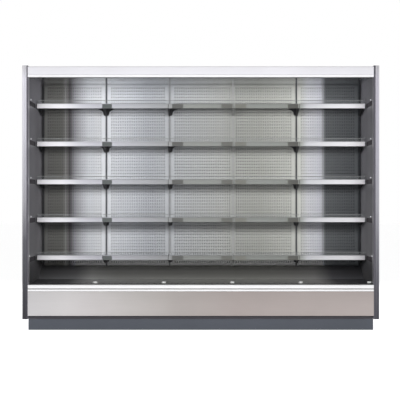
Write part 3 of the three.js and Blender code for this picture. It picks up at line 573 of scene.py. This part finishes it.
PLAIN_NODES = {
    "base_frame": "frame_paint",
    "insulated_tub": "tub_liner",
    "rear_wall": "back_skin",
    "roof_panel": "roof_skin",
    "rear_baffle": "baffle_steel",
    "fan_plenum": "galvanised",
    "evaporator_coil": "fin_aluminium",
    "canopy_lamp": "opal_lens",
}


def dress(node, finish, width=EDGE_ROUND):
    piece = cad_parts[node]
    piece.data.materials.clear()
    piece.data.materials.append(FINISHES[finish])
    soften(piece, width)


def dress_cad_nodes():
    for node, finish in PLAIN_NODES.items():
        dress(node, finish)
    for post in POSTS:
        dress(f"upright_{post}", "upright_coat", THIN_ROUND)
    for bay in BAYS:
        dress(f"deck_pan_{bay}", "deck_steel", FINE_ROUND)
    for node in ("fan_1", "fan_2"):
        dress(node, "fan_plastic", FINE_ROUND)


# ---------------- rear wall panels

PALE_POST = 4  # the upright that shows no dark line
WALL_SHEET = 0.0015
WALL_SIDE_MARGIN = 0.024  # plain steel beside the holes
WALL_MIDDLE_MARGIN = 0.006  # the same, beside the pale upright
WALL_END_MARGIN = 0.013
WALL_FOLD_LEG = 0.020  # of the face, drawn with the fold of a panel's edge
HOLE_PITCH_X = 0.0193
HOLE_PITCH_Z = 0.0259
HOLE_WIDTH = 0.0064
HOLE_HEIGHT = 0.0108
HOLE_FLAT = 0.4  # share of a hole's width between its cut corners

WEB_SETBACK = 0.0105  # behind the face of the upright, clear of the shelf hooks
WEB_INSET = 0.0023  # from the sides of the upright
WEB_THICKNESS = 0.0015
WEB_END_GAP = 0.002
BEAD_OPENING = 0.0136  # of an upright's face, left open between the beads
BEAD = 0.0007
BEAD_GAP = 0.0002  # between a bead and the upright
BEAD_ROUND = 0.4 * BEAD


def upright_backing(post):
    """The web that shows through the slots of an upright."""
    low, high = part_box(f"upright_{post}")
    near = low.y + WEB_SETBACK
    outline = box_outline(low.x + WEB_INSET, near, high.x - WEB_INSET, near + WEB_THICKNESS)
    start, end = low.z + WEB_END_GAP, high.z - WEB_END_GAP
    bar(f"upright_web_{post}", outline, start, end, "upright_coat", axis="z")


def panel_beads(post):
    """The edges of the two wall panels that lap over the rims of an upright."""
    low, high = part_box(f"upright_{post}")
    panel_low, panel_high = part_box("rear_panel_1")
    middle = (low.x + high.x) / 2
    far = low.y - BEAD_GAP
    made = bmesh.new()
    for side in (-1, 1):
        inner, outer = middle + side * BEAD_OPENING / 2, middle + side * (high.x - low.x) / 2
        outline = rounded(box_outline(inner, far - BEAD, outer, far), BEAD_ROUND, 2)
        sweep(outline, panel_low.z, panel_high.z, axis="z", into=made)
    finish_mesh(f"panel_beads_{post}", made, "wall_steel")


def hole_outline(centre_x, centre_z):
    """Eight points round a slot with cut corners, two on each side of its cell."""
    half_x, half_z = HOLE_WIDTH / 2, HOLE_HEIGHT / 2
    flat_x = half_x * HOLE_FLAT
    flat_z = half_z - (half_x - flat_x)
    steps = (
        (-flat_x, -half_z), (flat_x, -half_z), (half_x, -flat_z), (half_x, flat_z),
        (flat_x, half_z), (-flat_x, half_z), (-half_x, flat_z), (-half_x, -flat_z),
    )
    return [(centre_x + dx, centre_z + dz) for dx, dz in steps]


def perforated_cell(made, corners, points, y):
    """Fills a cell round its hole: on each side of the cell a face, and at its end a corner triangle."""
    ring = [made.verts.new((x, y, z)) for x, z in points]
    for side in range(4):
        here, after = corners[side], corners[(side + 1) % 4]
        first, second, third = (ring[(2 * side + step) % 8] for step in range(3))
        made.faces.new((here, after, second, first))
        made.faces.new((after, third, second))


def rear_panel(bay):
    """A wall panel with folded edges and rows of slotted holes."""
    low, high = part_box(f"rear_panel_{bay}")
    left_margin = WALL_MIDDLE_MARGIN if bay == PALE_POST else WALL_SIDE_MARGIN
    right_margin = WALL_MIDDLE_MARGIN if bay == PALE_POST - 1 else WALL_SIDE_MARGIN
    span = high.x - low.x - left_margin - right_margin
    columns = int(span / HOLE_PITCH_X)
    rows = int((high.z - low.z - 2 * WALL_END_MARGIN) / HOLE_PITCH_Z)
    first_x = low.x + left_margin + (span - columns * HOLE_PITCH_X) / 2
    first_z = (low.z + high.z - rows * HOLE_PITCH_Z) / 2
    edge = [(low.x, high.y - low.y), (low.x, 0.0), (low.x + WALL_FOLD_LEG, 0.0)]
    fold = rounded(edge, BEND, 3, closed=False)[:-1]
    run = list(fold) + [(first_x + i * HOLE_PITCH_X, 0.0) for i in range(columns + 1)]
    run += [(low.x + high.x - x, depth) for x, depth in reversed(fold)]
    heights = [low.z] + [first_z + i * HOLE_PITCH_Z for i in range(rows + 1)] + [high.z]
    first_cell = len(fold)
    made = bmesh.new()
    grid = [[made.verts.new((x, low.y + depth, z)) for z in heights] for x, depth in run]
    for i in range(len(run) - 1):
        for j in range(len(heights) - 1):
            corners = (grid[i][j], grid[i + 1][j], grid[i + 1][j + 1], grid[i][j + 1])
            if first_cell <= i < first_cell + columns and 1 <= j <= rows:
                middle_x = (run[i][0] + run[i + 1][0]) / 2
                middle_z = (heights[j] + heights[j + 1]) / 2
                perforated_cell(made, corners, hole_outline(middle_x, middle_z), low.y)
            else:
                made.faces.new(corners)
    piece = finish_mesh(f"perforated_panel_{bay}", made, "wall_steel", smooth_angle=50)
    thicken(piece, WALL_SHEET, "y")
    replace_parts(piece, f"rear_panel_{bay}")


# ---------------- shelves

SHELF_FACE = 0.039
SHELF_BEND = 0.0015
SHELF_REAR_GAP = 0.006  # before the uprights
SHELF_REAR_FOLD = 0.012
FACE_RETURN = 0.014  # folded back under the face
FACE_STIFFENER = 0.010  # and up behind it
FACE_FINISH_DEPTH = 0.006  # the face's steel is seen this far back

BRACKET_THICKNESS = 0.003
BRACKET_INSET = 0.002  # from the shelf's end to the middle of the plate
BRACKET_REACH = 0.322  # before the upright's face
BRACKET_ROOT = 0.078  # height at the upright, and where the taper starts
BRACKET_NOSE = 0.022  # height at the front
BRACKET_GAP = 0.0005  # before the upright's face
BRACKET_ROUND = 0.0012
HOOK_SEAT = 0.0237  # below the shelf's top
HOOK_HEIGHT = 0.008  # of the hook over its seat, and of the tab
HOOK_FRONT = 0.0037  # behind the upright's face
HOOK_REAR = 0.0065
HOOK_DROP = 0.006  # below the seat
TAB_TOP = 0.0584  # below the shelf's top
TAB_LENGTH = 0.005
# At these ends the brackets get a wide dark flange, which also stands in for the shade under the shelf
# there: partly painted shade.
FLANGE_AND_SHADE_ENDS = {1: ("right",), 2: ("left",), 3: ("left",), 4: ("right",), 5: ()}  # of each bay's shelves
FLANGE_OUTLINE = [  # (inwards, below the shelf's top)
    (0.0, 0.0025), (0.056, 0.0025), (0.056, 0.024), (0.036, 0.032),
    (0.022, 0.042), (0.016, 0.070), (0.008, 0.0745), (0.0, 0.0745),
]
FLANGE_FRONT = 0.0140  # before the upright's face
FLANGE_REAR = 0.0115
FLANGE_START = 0.0016  # from the middle of the bracket's plate

LIP_SETBACK = 0.0012  # behind the shelf's face
LIP_THICKNESS = 0.0035
LIP_HEIGHT = 0.026
LIP_END_GAP = 0.001
LIP_EDGE = 0.002  # half the height of its top edge
LIP_ROUND = 0.0012
FOOT_SEAT = 0.0003  # over the shelf
FOOT_DEPTH = 0.014
FOOT_TOE = 0.0018  # its height at the rear, beside the lip and under it
FOOT_HEEL = 0.0024
FOOT_TOP = 0.006
FOOT_ROUND = 0.0004

# Dark plates on the shelf faces beside the joints, as painted reflection:
PLATE_HIGH = 0.004  # below the shelf's top
PLATE_LOW = 0.038
PLATE_ROUND = 0.003
PLATE_PROUD = 0.0005
PLATE_SUNK = 0.0002
REFLECTION_PLATES = {  # joint: (start and end from it, its sides that have a plate)
    1: (0.0, 0.075, (1,)),
    2: (0.030, 0.120, (1,)),
    3: (0.010, 0.100, (-1, 1)),
    4: (0.008, 0.094, (-1,)),
}


def shelf(level, bay):
    """A folded pan on two hooked brackets, with a clear lip and the dark plates of painted reflection
    beside its joints.
    """
    node = f"shelf_level{level}_bay{bay}"
    low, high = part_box(node)
    left, right, top, front = low.x, high.x, high.z, low.y
    rear = POST_FACE_Y - SHELF_REAR_GAP - HALF_SHEET
    middle = top - HALF_SHEET
    face, bottom = front + HALF_SHEET, top + HALF_SHEET - SHELF_FACE
    path = [
        (rear, middle - SHELF_REAR_FOLD), (rear, middle), (face, middle), (face, bottom),
        (face + FACE_RETURN, bottom), (face + FACE_RETURN, bottom + FACE_STIFFENER),
    ]
    pan = bar(f"pan_{node}", folded(path, SHELF_BEND), left, right, "shelf_steel", node)
    # The top of the pan takes bright steel; the underside takes painted shade, except on the lowest shelf,
    # where it takes painted light.
    pan.data.materials.append(FINISHES["shelf_pan"])
    pan.data.materials.append(FINISHES["lit_low_shelf_underside" if level == 1 else "shaded_shelf_underside"])
    for side in pan.data.polygons:
        if side.center.y > front + FACE_FINISH_DEPTH:
            side.material_index = 1 if side.normal.z > 0.5 else 2
    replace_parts(pan, node)
    brackets(node, bay, left, right, top)
    lip(node, left, right, top, front)
    face_reflection_plates(node, bay, left, right, top, front)


def bracket_outline(top):
    """(y, z) of a bracket's plate with its hook and its tab."""
    tab_low = TAB_TOP + HOOK_HEIGHT
    hook_low, hook_high = HOOK_SEAT + HOOK_DROP, HOOK_SEAT - HOOK_HEIGHT
    outline = [
        (-SHELF_REAR_GAP, SHEET), (-BRACKET_REACH, SHEET), (-BRACKET_REACH, BRACKET_NOSE),
        (-BRACKET_ROOT, BRACKET_ROOT), (-BRACKET_GAP, BRACKET_ROOT), (-BRACKET_GAP, tab_low),
        (TAB_LENGTH, tab_low), (TAB_LENGTH, TAB_TOP), (-BRACKET_GAP, TAB_TOP),
        (-BRACKET_GAP, HOOK_SEAT), (HOOK_FRONT, HOOK_SEAT), (HOOK_FRONT, hook_low),
        (HOOK_REAR, hook_low), (HOOK_REAR, hook_high), (-BRACKET_GAP, hook_high),
    ]
    shape = rounded([(back, -below) for back, below in outline], BRACKET_ROUND, 2)
    return [(POST_FACE_Y + back, top + height) for back, height in shape]


def brackets(node, bay, left, right, top):
    """The two hooked side plates, with a wide dark flange at the root where one shows, which also stands in
    for the shade under the shelf there: partly painted shade.
    """
    made = bmesh.new()
    outline = bracket_outline(top)
    for name, end, inward in (("left", left, 1), ("right", right, -1)):
        middle = end + inward * BRACKET_INSET
        sweep(outline, middle - BRACKET_THICKNESS / 2, middle + BRACKET_THICKNESS / 2, into=made)
        if name in FLANGE_AND_SHADE_ENDS[bay]:
            root = middle + inward * FLANGE_START
            flange = [(root + inward * across, top - below) for across, below in FLANGE_OUTLINE]
            sweep(flange, POST_FACE_Y - FLANGE_FRONT, POST_FACE_Y - FLANGE_REAR, axis="y", into=made)
    piece = finish_mesh(f"brackets_{node}", made, "bracket_coat", node)
    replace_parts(piece, node)


def lip(node, left, right, top, front):
    """The clear lip along the front of a shelf, with its foot and its greyer top edge."""
    near = front + LIP_SETBACK
    far = near + LIP_THICKNESS
    toe = near + FOOT_DEPTH
    edge_low, edge_high = top + LIP_HEIGHT - LIP_EDGE, top + LIP_HEIGHT + LIP_EDGE
    foot = [
        (near, top + FOOT_SEAT), (toe, top + FOOT_SEAT), (toe, top + FOOT_TOE),
        (far, top + FOOT_HEEL), (far, top + FOOT_TOP), (near, top + FOOT_TOP),
    ]
    parts = (
        ("foot", rounded(foot, FOOT_ROUND, 2), "clear_acrylic"),
        ("lip", box_outline(near, top + FOOT_TOP, far, edge_low), "clear_acrylic"),
        ("edge", rounded(box_outline(near, edge_low, far, edge_high), LIP_ROUND, 3), "acrylic_edge"),
    )
    for part, outline, finish in parts:
        bar(f"{part}_{node}", outline, left + LIP_END_GAP, right - LIP_END_GAP, finish, node)


def face_reflection_plates(node, bay, left, right, top, front):
    """Dark plates on the face beside the joints between bays: painted reflection, for the dark patches that
    the face shows there.
    """
    made = bmesh.new()
    for joint, end, side in ((bay - 1, left, 1), (bay, right, -1)):
        near, far, sides = REFLECTION_PLATES.get(joint, (0, 0, ()))
        if side in sides:
            start, stop = sorted((end + side * near, end + side * far))
            outline = rounded(box_outline(start, top - PLATE_LOW, stop, top - PLATE_HIGH), PLATE_ROUND)
            sweep(outline, front - PLATE_PROUD, front + PLATE_SUNK, axis="y", into=made)
    if len(made.verts) > 0:
        finish_mesh(f"reflection_plates_{node}", made, "reflection_plate_steel", node)
    else:
        made.free()


# ---------------- end panels

SKIN = 0.0012  # inner wall
PROUD = 0.0015  # screw heads stand this far out of the side
TRIM_DEPTH = 0.0122  # behind the front, as are the next four
CASE_SETBACK = 0.0125
SEAL_SETBACK = 0.0040
GROOVE_SETBACK = 0.0045
CORNER_DEPTH = 0.090  # the bright strip round the front edge of the inner wall
CORNER_GAP = 0.0003  # behind that strip
STRIP = 0.020
STEP = 0.003  # between the two strips of trim, and from one to the other
# The dark seal inside the trims is drawn wider on the right, where it also paints the shade on that side.
SEAL_AND_SHADE = {"left": 0.0095, "right": 0.0140}

STUD_RADIUS = 0.007
STUD_PROFILE = [
    (STUD_RADIUS, 0.0), (STUD_RADIUS, 0.003), (STUD_RADIUS * 0.8, 0.006), (STUD_RADIUS * 0.4, 0.0075),
]
STUD_DEPTH = 0.150  # behind the front plane
STUD_RISE = 0.010  # over the shelf's top
STUD_ROOM = 0.002  # between a stud and the path of a deck pan
RAIL_PROUD = (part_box("deck_pan_1")[0].x + INSIDE_X) / 2  # half the gap beside the deck pans
RAIL_START = 0.095  # of the side rails, behind the front plane
RAIL_END = 0.384
RAIL_BELOW_TOP = 0.002
RAIL_ROUND = 0.004

SCREW_PROFILE = [(0.0058, 0.0), (0.0056, 0.0007), (0.0042, 0.0014), (0.0022, 0.0016)]
SCREW_DEPTHS = (0.05, 0.82)  # of the two rows, behind the front plane
SCREWS_PER_ROW = 6
SCREW_MARGIN = 0.08
SCREW_PROUD = 0.0002  # under its head


def before_deck_pans(depth, height, room):
    """The given depth, or one further forward that a deck pan, lifted by its front edge, passes behind."""
    low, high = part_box("deck_pan_1")
    reach, rise = high.y - low.y, height - high.z
    if rise >= reach:
        return depth
    return min(depth, high.y - math.sqrt(reach ** 2 - rise ** 2) - room)


def end_panel(side, name):
    """Outer case, steel inner wall, the two strips of edge trim and the dark seal inside them."""
    node = f"{name}_end_panel"
    low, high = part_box(node)
    inner, front = side * INSIDE_X, low.y
    behind, corner = front + TRIM_DEPTH, front + CORNER_DEPTH
    seal = SEAL_AND_SHADE[name]
    split = seal + STRIP / 2
    outer = OUTSIDE_X - INSIDE_X - PROUD
    trim = f"{name}_trim_steel"
    parts = (  # name, finish, from and to across, from and to in depth, corner radius
        ("corner_strip", "corner_strip", 0.0, SKIN, behind, corner, 0.0003),
        ("inner_wall", "side_wall_steel", 0.0, SKIN, corner + CORNER_GAP, high.y, 0.0003),
        ("outer_case", "end_paint", SKIN, outer, front + CASE_SETBACK, high.y, 0.002),
        ("edge_seal", "edge_seal", 0.0, seal, front + SEAL_SETBACK, behind, 0.001),
        ("inner_trim", trim, seal, split, front, behind, 0.0015),
        ("trim_groove", trim, split, split + STEP, front + GROOVE_SETBACK, behind, 0.0004),
        ("outer_trim", trim, split + STEP, outer, front + STEP, behind, 0.004),
    )
    for part, finish, near, far, start, end, radius in parts:
        outline = rounded(box_outline(inner + side * near, start, inner + side * far, end), radius, 3)
        piece = bar(f"{name}_{part}", outline, low.z, high.z, finish, axis="z")
        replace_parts(piece, node)
        soften(piece, TRIM_ROUND)
    wall_studs(side, name)
    shelf_rails(side, name)
    side_screws(side, name, low.z, high.z)


def wall_studs(side, name):
    """A bright stud on the inner wall over the end of each shelf."""
    made = bmesh.new()
    for shelf_top in SHELF_TOPS:
        height = shelf_top + STUD_RISE
        place = before_deck_pans(FRONT_Y + STUD_DEPTH, height, STUD_RADIUS + STUD_ROOM)
        disc(made, (side * INSIDE_X, place, height), (-side, 0, 0), STUD_PROFILE)
    finish_mesh(f"{name}_wall_studs", made, "stud_steel")


def shelf_rails(side, name):
    """A dark rail, nearly flush with the inner wall, beside the end of each shelf."""
    inner = side * INSIDE_X
    start, end = FRONT_Y + RAIL_START, FRONT_Y + RAIL_END
    made = bmesh.new()
    for shelf_top in SHELF_TOPS:
        outline = box_outline(start, shelf_top - SHELF_FACE, end, shelf_top - RAIL_BELOW_TOP)
        sweep(rounded(outline, RAIL_ROUND, 3), inner - side * RAIL_PROUD, inner, into=made)
    finish_mesh(f"{name}_shelf_rails", made, "rail_coat")


def side_screws(side, name, bottom, top):
    """Two rows of screws that hold the outer side."""
    face = side * (OUTSIDE_X - PROUD - SCREW_PROUD)
    pitch = (top - bottom - 2 * SCREW_MARGIN) / (SCREWS_PER_ROW - 1)
    made = bmesh.new()
    for depth in SCREW_DEPTHS:
        for index in range(SCREWS_PER_ROW):
            height = bottom + SCREW_MARGIN + index * pitch
            disc(made, (face, FRONT_Y + depth, height), (side, 0, 0), SCREW_PROFILE, 16)
    finish_mesh(f"{name}_side_screws", made, "screw_steel")


# ---------------- long front and top pieces

KICK_RETURN = 0.022
# The dark strip in the gap over the kick plate, which paints the shade in that gap:
GAP_SHADE_NEAR = 0.002  # behind the kick plate's face
GAP_SHADE_FAR = 0.010
GAP_SHADE_CLEARANCE = 0.0004  # under and over it
GAP_SHADE_ROUND = 0.0025
PANEL_BEND = 0.0025
CANOPY_RETURN = 0.009
CANOPY_BEND = 0.007
CANOPY_TRIM_WALL = 0.003
CANOPY_TRIM_ROUND = 0.0022
CEILING_LEDGE = 0.007
CEILING_BEND = 0.002

BUMPER_NOSE = 0.009
BUMPER_ROUND = 0.0012
BUMPER_LEDGE_DEPTH = 0.020
BUMPER_LEDGE_DROP = 0.016
GROOVE_LOW = 0.015  # over the bumper's underside
GROOVE_HIGH = 0.023
GROOVE_DEPTH = 0.005
INSERT_SETBACK = 0.0022
INSERT_ROUND = 0.001

CELL_RADIUS = 0.0078
CELL_WALL = 0.0006  # each cell's half of the wall that it shares
CELL_INSET = 0.0005  # from the underside and the top of the frame
COMB_RIM = 0.006
CELL_GRID = 1e5  # corners nearer than one step of this grid a metre are shared


def along_case(node, name, outline, finish):
    """A piece that runs as far across the case as the node it stands for."""
    low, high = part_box(node)
    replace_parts(bar(name, outline, low.x, high.x, finish), node)


def folded_face(node, name, toe, face, bend, finish):
    """A sheet folded back from its face: along its top, and along its underside to a toe, or as far."""
    low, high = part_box(node)
    bottom, top = low.z + HALF_SHEET, high.z - HALF_SHEET
    toe_y = high.y if toe is None else low.y + toe
    path = [(toe_y, bottom), (low.y + face, bottom), (low.y + face, top), (high.y, top)]
    along_case(node, name, folded(path, bend), finish)


def kick_plate():
    """The folded kick plate, and the dark strip in the gap over it, which paints the shade in that gap."""
    low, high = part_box("kick_plate")
    face, bottom = low.y + HALF_SHEET, low.z + HALF_SHEET
    path = [(face + KICK_RETURN, bottom), (face, bottom), (face, high.z)]
    along_case("kick_plate", "kick_plate_sheet", folded(path), "kick_paint")

    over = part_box("lower_panel")[0].z
    outline = box_outline(low.y + GAP_SHADE_NEAR, high.z + GAP_SHADE_CLEARANCE, low.y + GAP_SHADE_FAR, over - GAP_SHADE_CLEARANCE)
    bar("kick_gap_shade_strip", rounded(outline, GAP_SHADE_ROUND, 3), low.x, high.x, "kick_gap_shade")


def canopy_trim():
    """The bright angle under the canopy."""
    low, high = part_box("canopy_trim")
    inner_y, inner_z = low.y + CANOPY_TRIM_WALL, low.z + CANOPY_TRIM_WALL
    corners = [(low.y, high.z), (low.y, low.z), (high.y, low.z), (high.y, inner_z), (inner_y, inner_z),
               (inner_y, high.z)]
    outline = rounded(corners, CANOPY_TRIM_ROUND)
    along_case("canopy_trim", "canopy_trim_strip", outline, "white_trim")


def front_pieces():
    kick_plate()
    folded_face("lower_panel", "lower_panel_sheet", None, HALF_SHEET, PANEL_BEND,
                "front_steel")
    folded_face("canopy", "canopy_fascia", CANOPY_RETURN, HALF_SHEET, CANOPY_BEND,
                "white_paint")
    canopy_trim()
    folded_face("ceiling_panel", "ceiling_sheet", 0.0, CEILING_LEDGE, CEILING_BEND,
                "ceiling_steel")
    bumper()


def bumper():
    """White extrusion with a rounded nose and a grey insert in its groove."""
    low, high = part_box("bumper")
    groove_low, groove_high, groove_rear = low.z + GROOVE_LOW, low.z + GROOVE_HIGH, low.y + GROOVE_DEPTH
    ledge_y, ledge_z = high.y - BUMPER_LEDGE_DEPTH, high.z - BUMPER_LEDGE_DROP
    nose = (low.y, high.z)
    points = [
        (high.y, low.z), (high.y, ledge_z), (ledge_y, ledge_z), (ledge_y, high.z), nose,
        (low.y, groove_high), (groove_rear, groove_high), (groove_rear, groove_low),
        (low.y, groove_low), (low.y, low.z),
    ]
    outline = []
    for i, point in enumerate(points):
        radius = BUMPER_NOSE if point == nose else BUMPER_ROUND
        corner = rounded([points[i - 1], point, points[(i + 1) % len(points)]], radius, 5, closed=False)
        outline += corner[1:-1]
    along_case("bumper", "bumper_extrusion", outline, "bumper_white")

    insert = box_outline(low.y + INSERT_SETBACK, groove_low, groove_rear, groove_high)
    bar("bumper_insert", rounded(insert, INSERT_ROUND, 2), low.x, high.x, "bumper_insert")


def honeycomb():
    """Six-sided cells that the air curtain leaves through, between two rails."""
    low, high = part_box("air_honeycomb")
    across, down = math.sqrt(3) * CELL_RADIUS, 1.5 * CELL_RADIUS
    rows = int((high.y - low.y - 2 * COMB_RIM) / down)
    columns = int((high.x - low.x - 2 * COMB_RIM) / across) - 1
    start_y = (low.y + high.y) / 2 - (rows - 1) * down / 2
    start_x = (low.x + high.x) / 2 - (columns - 0.5) * across / 2
    bottom = low.z + CELL_INSET
    angles = [math.pi / 6 + k * math.pi / 3 for k in range(6)]
    made = bmesh.new()
    shared = {}

    def hexagon(x, y, radius):
        return [(x + radius * math.cos(a), y + radius * math.sin(a), bottom) for a in angles]

    def shared_corner(place):
        key = (round(place[0] * CELL_GRID), round(place[1] * CELL_GRID))
        if key not in shared:
            shared[key] = made.verts.new(place)
        return shared[key]

    for row in range(rows):
        for column in range(columns):
            x = start_x + (column + (0.5 if row % 2 else 0.0)) * across
            y = start_y + row * down
            outer = [shared_corner(place) for place in hexagon(x, y, CELL_RADIUS)]
            inner = [made.verts.new(place) for place in hexagon(x, y, CELL_RADIUS - CELL_WALL)]
            for k in range(6):
                n = (k + 1) % 6
                made.faces.new((outer[k], outer[n], inner[n], inner[k]))
    cells = finish_mesh("honeycomb_cells", made, "honeycomb", smooth_angle=20)
    thicken(cells, high.z - low.z - 2 * CELL_INSET, "z")
    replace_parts(cells, "air_honeycomb")

    rails = bmesh.new()
    for near, far in ((low.y, low.y + COMB_RIM), (high.y - COMB_RIM, high.y)):
        sweep(box_outline(near, low.z, far, high.z), low.x, high.x, into=rails)
    rails = finish_mesh("honeycomb_rails", rails, "honeycomb")
    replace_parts(rails, "air_honeycomb")


# ---------------- deck details and fasteners

RING_MAJOR = 0.0150
RING_MINOR = 0.0038
RING_TALL = 1.7  # its height against its thickness
RING_SIDES = 28
RING_TURNS = 10
RING_FROM_EDGE = 0.022  # from the right edge of its deck pan
RING_DEPTH = 0.093  # behind the front plane

BACK_RIBS = 6
RIVETS_PER_RIB = 8
RIB_MARGIN = 0.046  # from the end of the rear wall to the first rib's middle
RIVET_MARGIN = 0.06
RIVET_PROFILE = [(0.005, 0.0), (0.005, 0.0008), (0.0038, 0.0018), (0.0016, 0.0022)]
RIVET_HEIGHT = RIVET_PROFILE[-1][1]


def finger_ring(bay):
    """The bright ring of a finger hole, which lifts with its deck pan."""
    middle_x, middle_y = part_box(f"deck_pan_{bay}")[1].x - RING_FROM_EDGE, FRONT_Y + RING_DEPTH
    made = bmesh.new()
    rings = []
    for k in range(RING_SIDES):
        around = 2 * math.pi * k / RING_SIDES
        ring = []
        for n in range(RING_TURNS):
            turn = 2 * math.pi * n / RING_TURNS
            radius = RING_MAJOR + RING_MINOR * math.cos(turn)
            x, y = middle_x + radius * math.cos(around), middle_y + radius * math.sin(around)
            ring.append(made.verts.new((x, y, DECK_TOP + RING_MINOR * (1 + math.sin(turn)) * RING_TALL)))
        rings.append(ring)
    for k in range(RING_SIDES):
        here, after = rings[k], rings[(k + 1) % RING_SIDES]
        for n in range(RING_TURNS):
            m = (n + 1) % RING_TURNS
            made.faces.new((here[n], after[n], after[m], here[m]))
    finish_mesh(f"finger_ring_{bay}", made, "finger_ring", f"deck_pan_{bay}", 60)


def back_rivets():
    """Rivets down each rib of the back."""
    low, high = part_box("rear_wall")
    pitch = (high.z - low.z - 2 * RIVET_MARGIN) / (RIVETS_PER_RIB - 1)
    made = bmesh.new()
    for rib in range(BACK_RIBS):
        x = (rib / (BACK_RIBS - 1) - 0.5) * 2 * (high.x - RIB_MARGIN)
        for index in range(RIVETS_PER_RIB):
            z = low.z + RIVET_MARGIN + index * pitch
            disc(made, (x, BACK_Y - RIVET_HEIGHT, z), (0, 1, 0), RIVET_PROFILE, 12)
    finish_mesh("back_rivets", made, "screw_steel")


# ---------------- camera, light and floor

AMBIENT = 0.075
FLOOR_GLOW = 0.88  # where the floor shows as the surroundings do
FLOOR_REACH = 40
FLOOR_DROP = 0.0005  # under the feet
AIM_HEIGHT = 1.1  # that both lamps point at
KEY_PLACE = (0.0, FRONT_Y - 4.4, 1.97)
KEY_SIZE = (7.0, 0.95)
KEY_WATTS = 230
BACK_PLACE = (0.0, 3.9, 2.6)
BACK_SIZE = (13.0, 1.2)
BACK_WATTS = 230


def camera():
    data = bpy.data.cameras.new("front_view")
    data.sensor_width = SENSOR
    data.lens = CAMERA_DISTANCE * 1000 / MM_PER_PIXEL * SENSOR / PICTURE
    data.shift_x = (PICTURE / 2 - VANISHING_PIXEL) / PICTURE
    data.clip_end = FAR_CLIP
    view = new_object("front_view", data)
    view.location = (CAMERA_X, FRONT_Y - CAMERA_DISTANCE, CAMERA_Z)
    view.rotation_euler = (math.pi / 2, 0, 0)
    bpy.context.scene.camera = view


def seen_white(tree):
    """1 for rays that show the surroundings: from the camera, off a gloss, or through something clear."""
    path = tree.nodes.new("ShaderNodeLightPath")
    total = path.outputs["Is Camera Ray"]
    for name in ("Is Glossy Ray", "Is Transmission Ray"):
        either = tree.nodes.new("ShaderNodeMath")
        either.operation = "MAXIMUM"
        tree.links.new(total, either.inputs[0])
        tree.links.new(path.outputs[name], either.inputs[1])
        total = either.outputs[0]
    return total


def surroundings():
    """A faint even light on the case, in surroundings that show as white."""
    world = bpy.data.worlds.new("studio")
    bpy.context.scene.world = world
    world.use_nodes = True
    tree = world.node_tree
    tree.nodes.clear()
    mix = tree.nodes.new("ShaderNodeMixShader")
    tree.links.new(seen_white(tree), mix.inputs[0])
    for socket, strength in ((1, AMBIENT), (2, 1.0)):
        background = tree.nodes.new("ShaderNodeBackground")
        background.inputs["Color"].default_value = (1, 1, 1, 1)
        background.inputs["Strength"].default_value = strength
        tree.links.new(background.outputs[0], mix.inputs[socket])
    tree.links.new(mix.outputs[0], tree.nodes.new("ShaderNodeOutputWorld").inputs["Surface"])


def area_light(name, place, target, size, watts):
    data = bpy.data.lights.new(name, "AREA")
    data.shape = "RECTANGLE"
    data.size, data.size_y = size
    data.energy = watts
    lamp = new_object(name, data)
    lamp.location = place
    lamp.rotation_euler = (Vector(target) - Vector(place)).to_track_quat("-Z", "Y").to_euler()
    lamp.visible_camera = False
    lamp.visible_glossy = False


def light_the_scene():
    """A wide softbox for the front, and a wider one behind for the back, the roof and the two ends."""
    area_light("softbox", KEY_PLACE, (0, FRONT_Y, AIM_HEIGHT), KEY_SIZE, KEY_WATTS)
    area_light("back_fill", BACK_PLACE, (0, BACK_Y, AIM_HEIGHT), BACK_SIZE, BACK_WATTS)


def floor():
    """A pale floor that shows nearly white and keeps the shadow of the case."""
    made = bmesh.new()
    corners = box_outline(-FLOOR_REACH, -FLOOR_REACH, FLOOR_REACH, FLOOR_REACH)
    made.faces.new([made.verts.new((x, y, -FLOOR_DROP)) for x, y in corners])
    mesh = bpy.data.meshes.new("floor")
    made.to_mesh(mesh)
    made.free()
    piece = new_object("floor", mesh)
    surface = Finish("floor_paper", 0.0, 0.9)
    surface.set(Specular_IOR_Level=0.1)
    surface.colour(surface.vary(shade(236, 236, 238), surface.noise((2, 2, 2)), 0.01))
    shown = {0: seen_white(surface.tree), 1: FLOOR_GLOW}
    strength = surface.node("ShaderNodeMath", shown, operation="MULTIPLY").outputs[0]
    glow = surface.node("ShaderNodeEmission", {"Color": (1, 1, 1, 1), "Strength": strength})
    both = surface.node("ShaderNodeAddShader", {0: surface.shader.outputs[0], 1: glow.outputs[0]})
    output = surface.tree.nodes["Material Output"]
    surface.tree.links.new(both.outputs[0], output.inputs["Surface"])
    mesh.materials.append(surface.material)


# ---------------- assembly

camera()
surroundings()
light_the_scene()
floor()
dress_cad_nodes()
for post in POSTS:
    upright_backing(post)
for post in POSTS[1:-1]:
    panel_beads(post)
for bay in BAYS:
    rear_panel(bay)
    finger_ring(bay)
    for level in LEVELS:
        shelf(level, bay)
end_panel(-1, "left")
end_panel(1, "right")
front_pieces()
honeycomb()
back_rivets()

bpy.context.scene.view_settings.view_transform = "Standard"
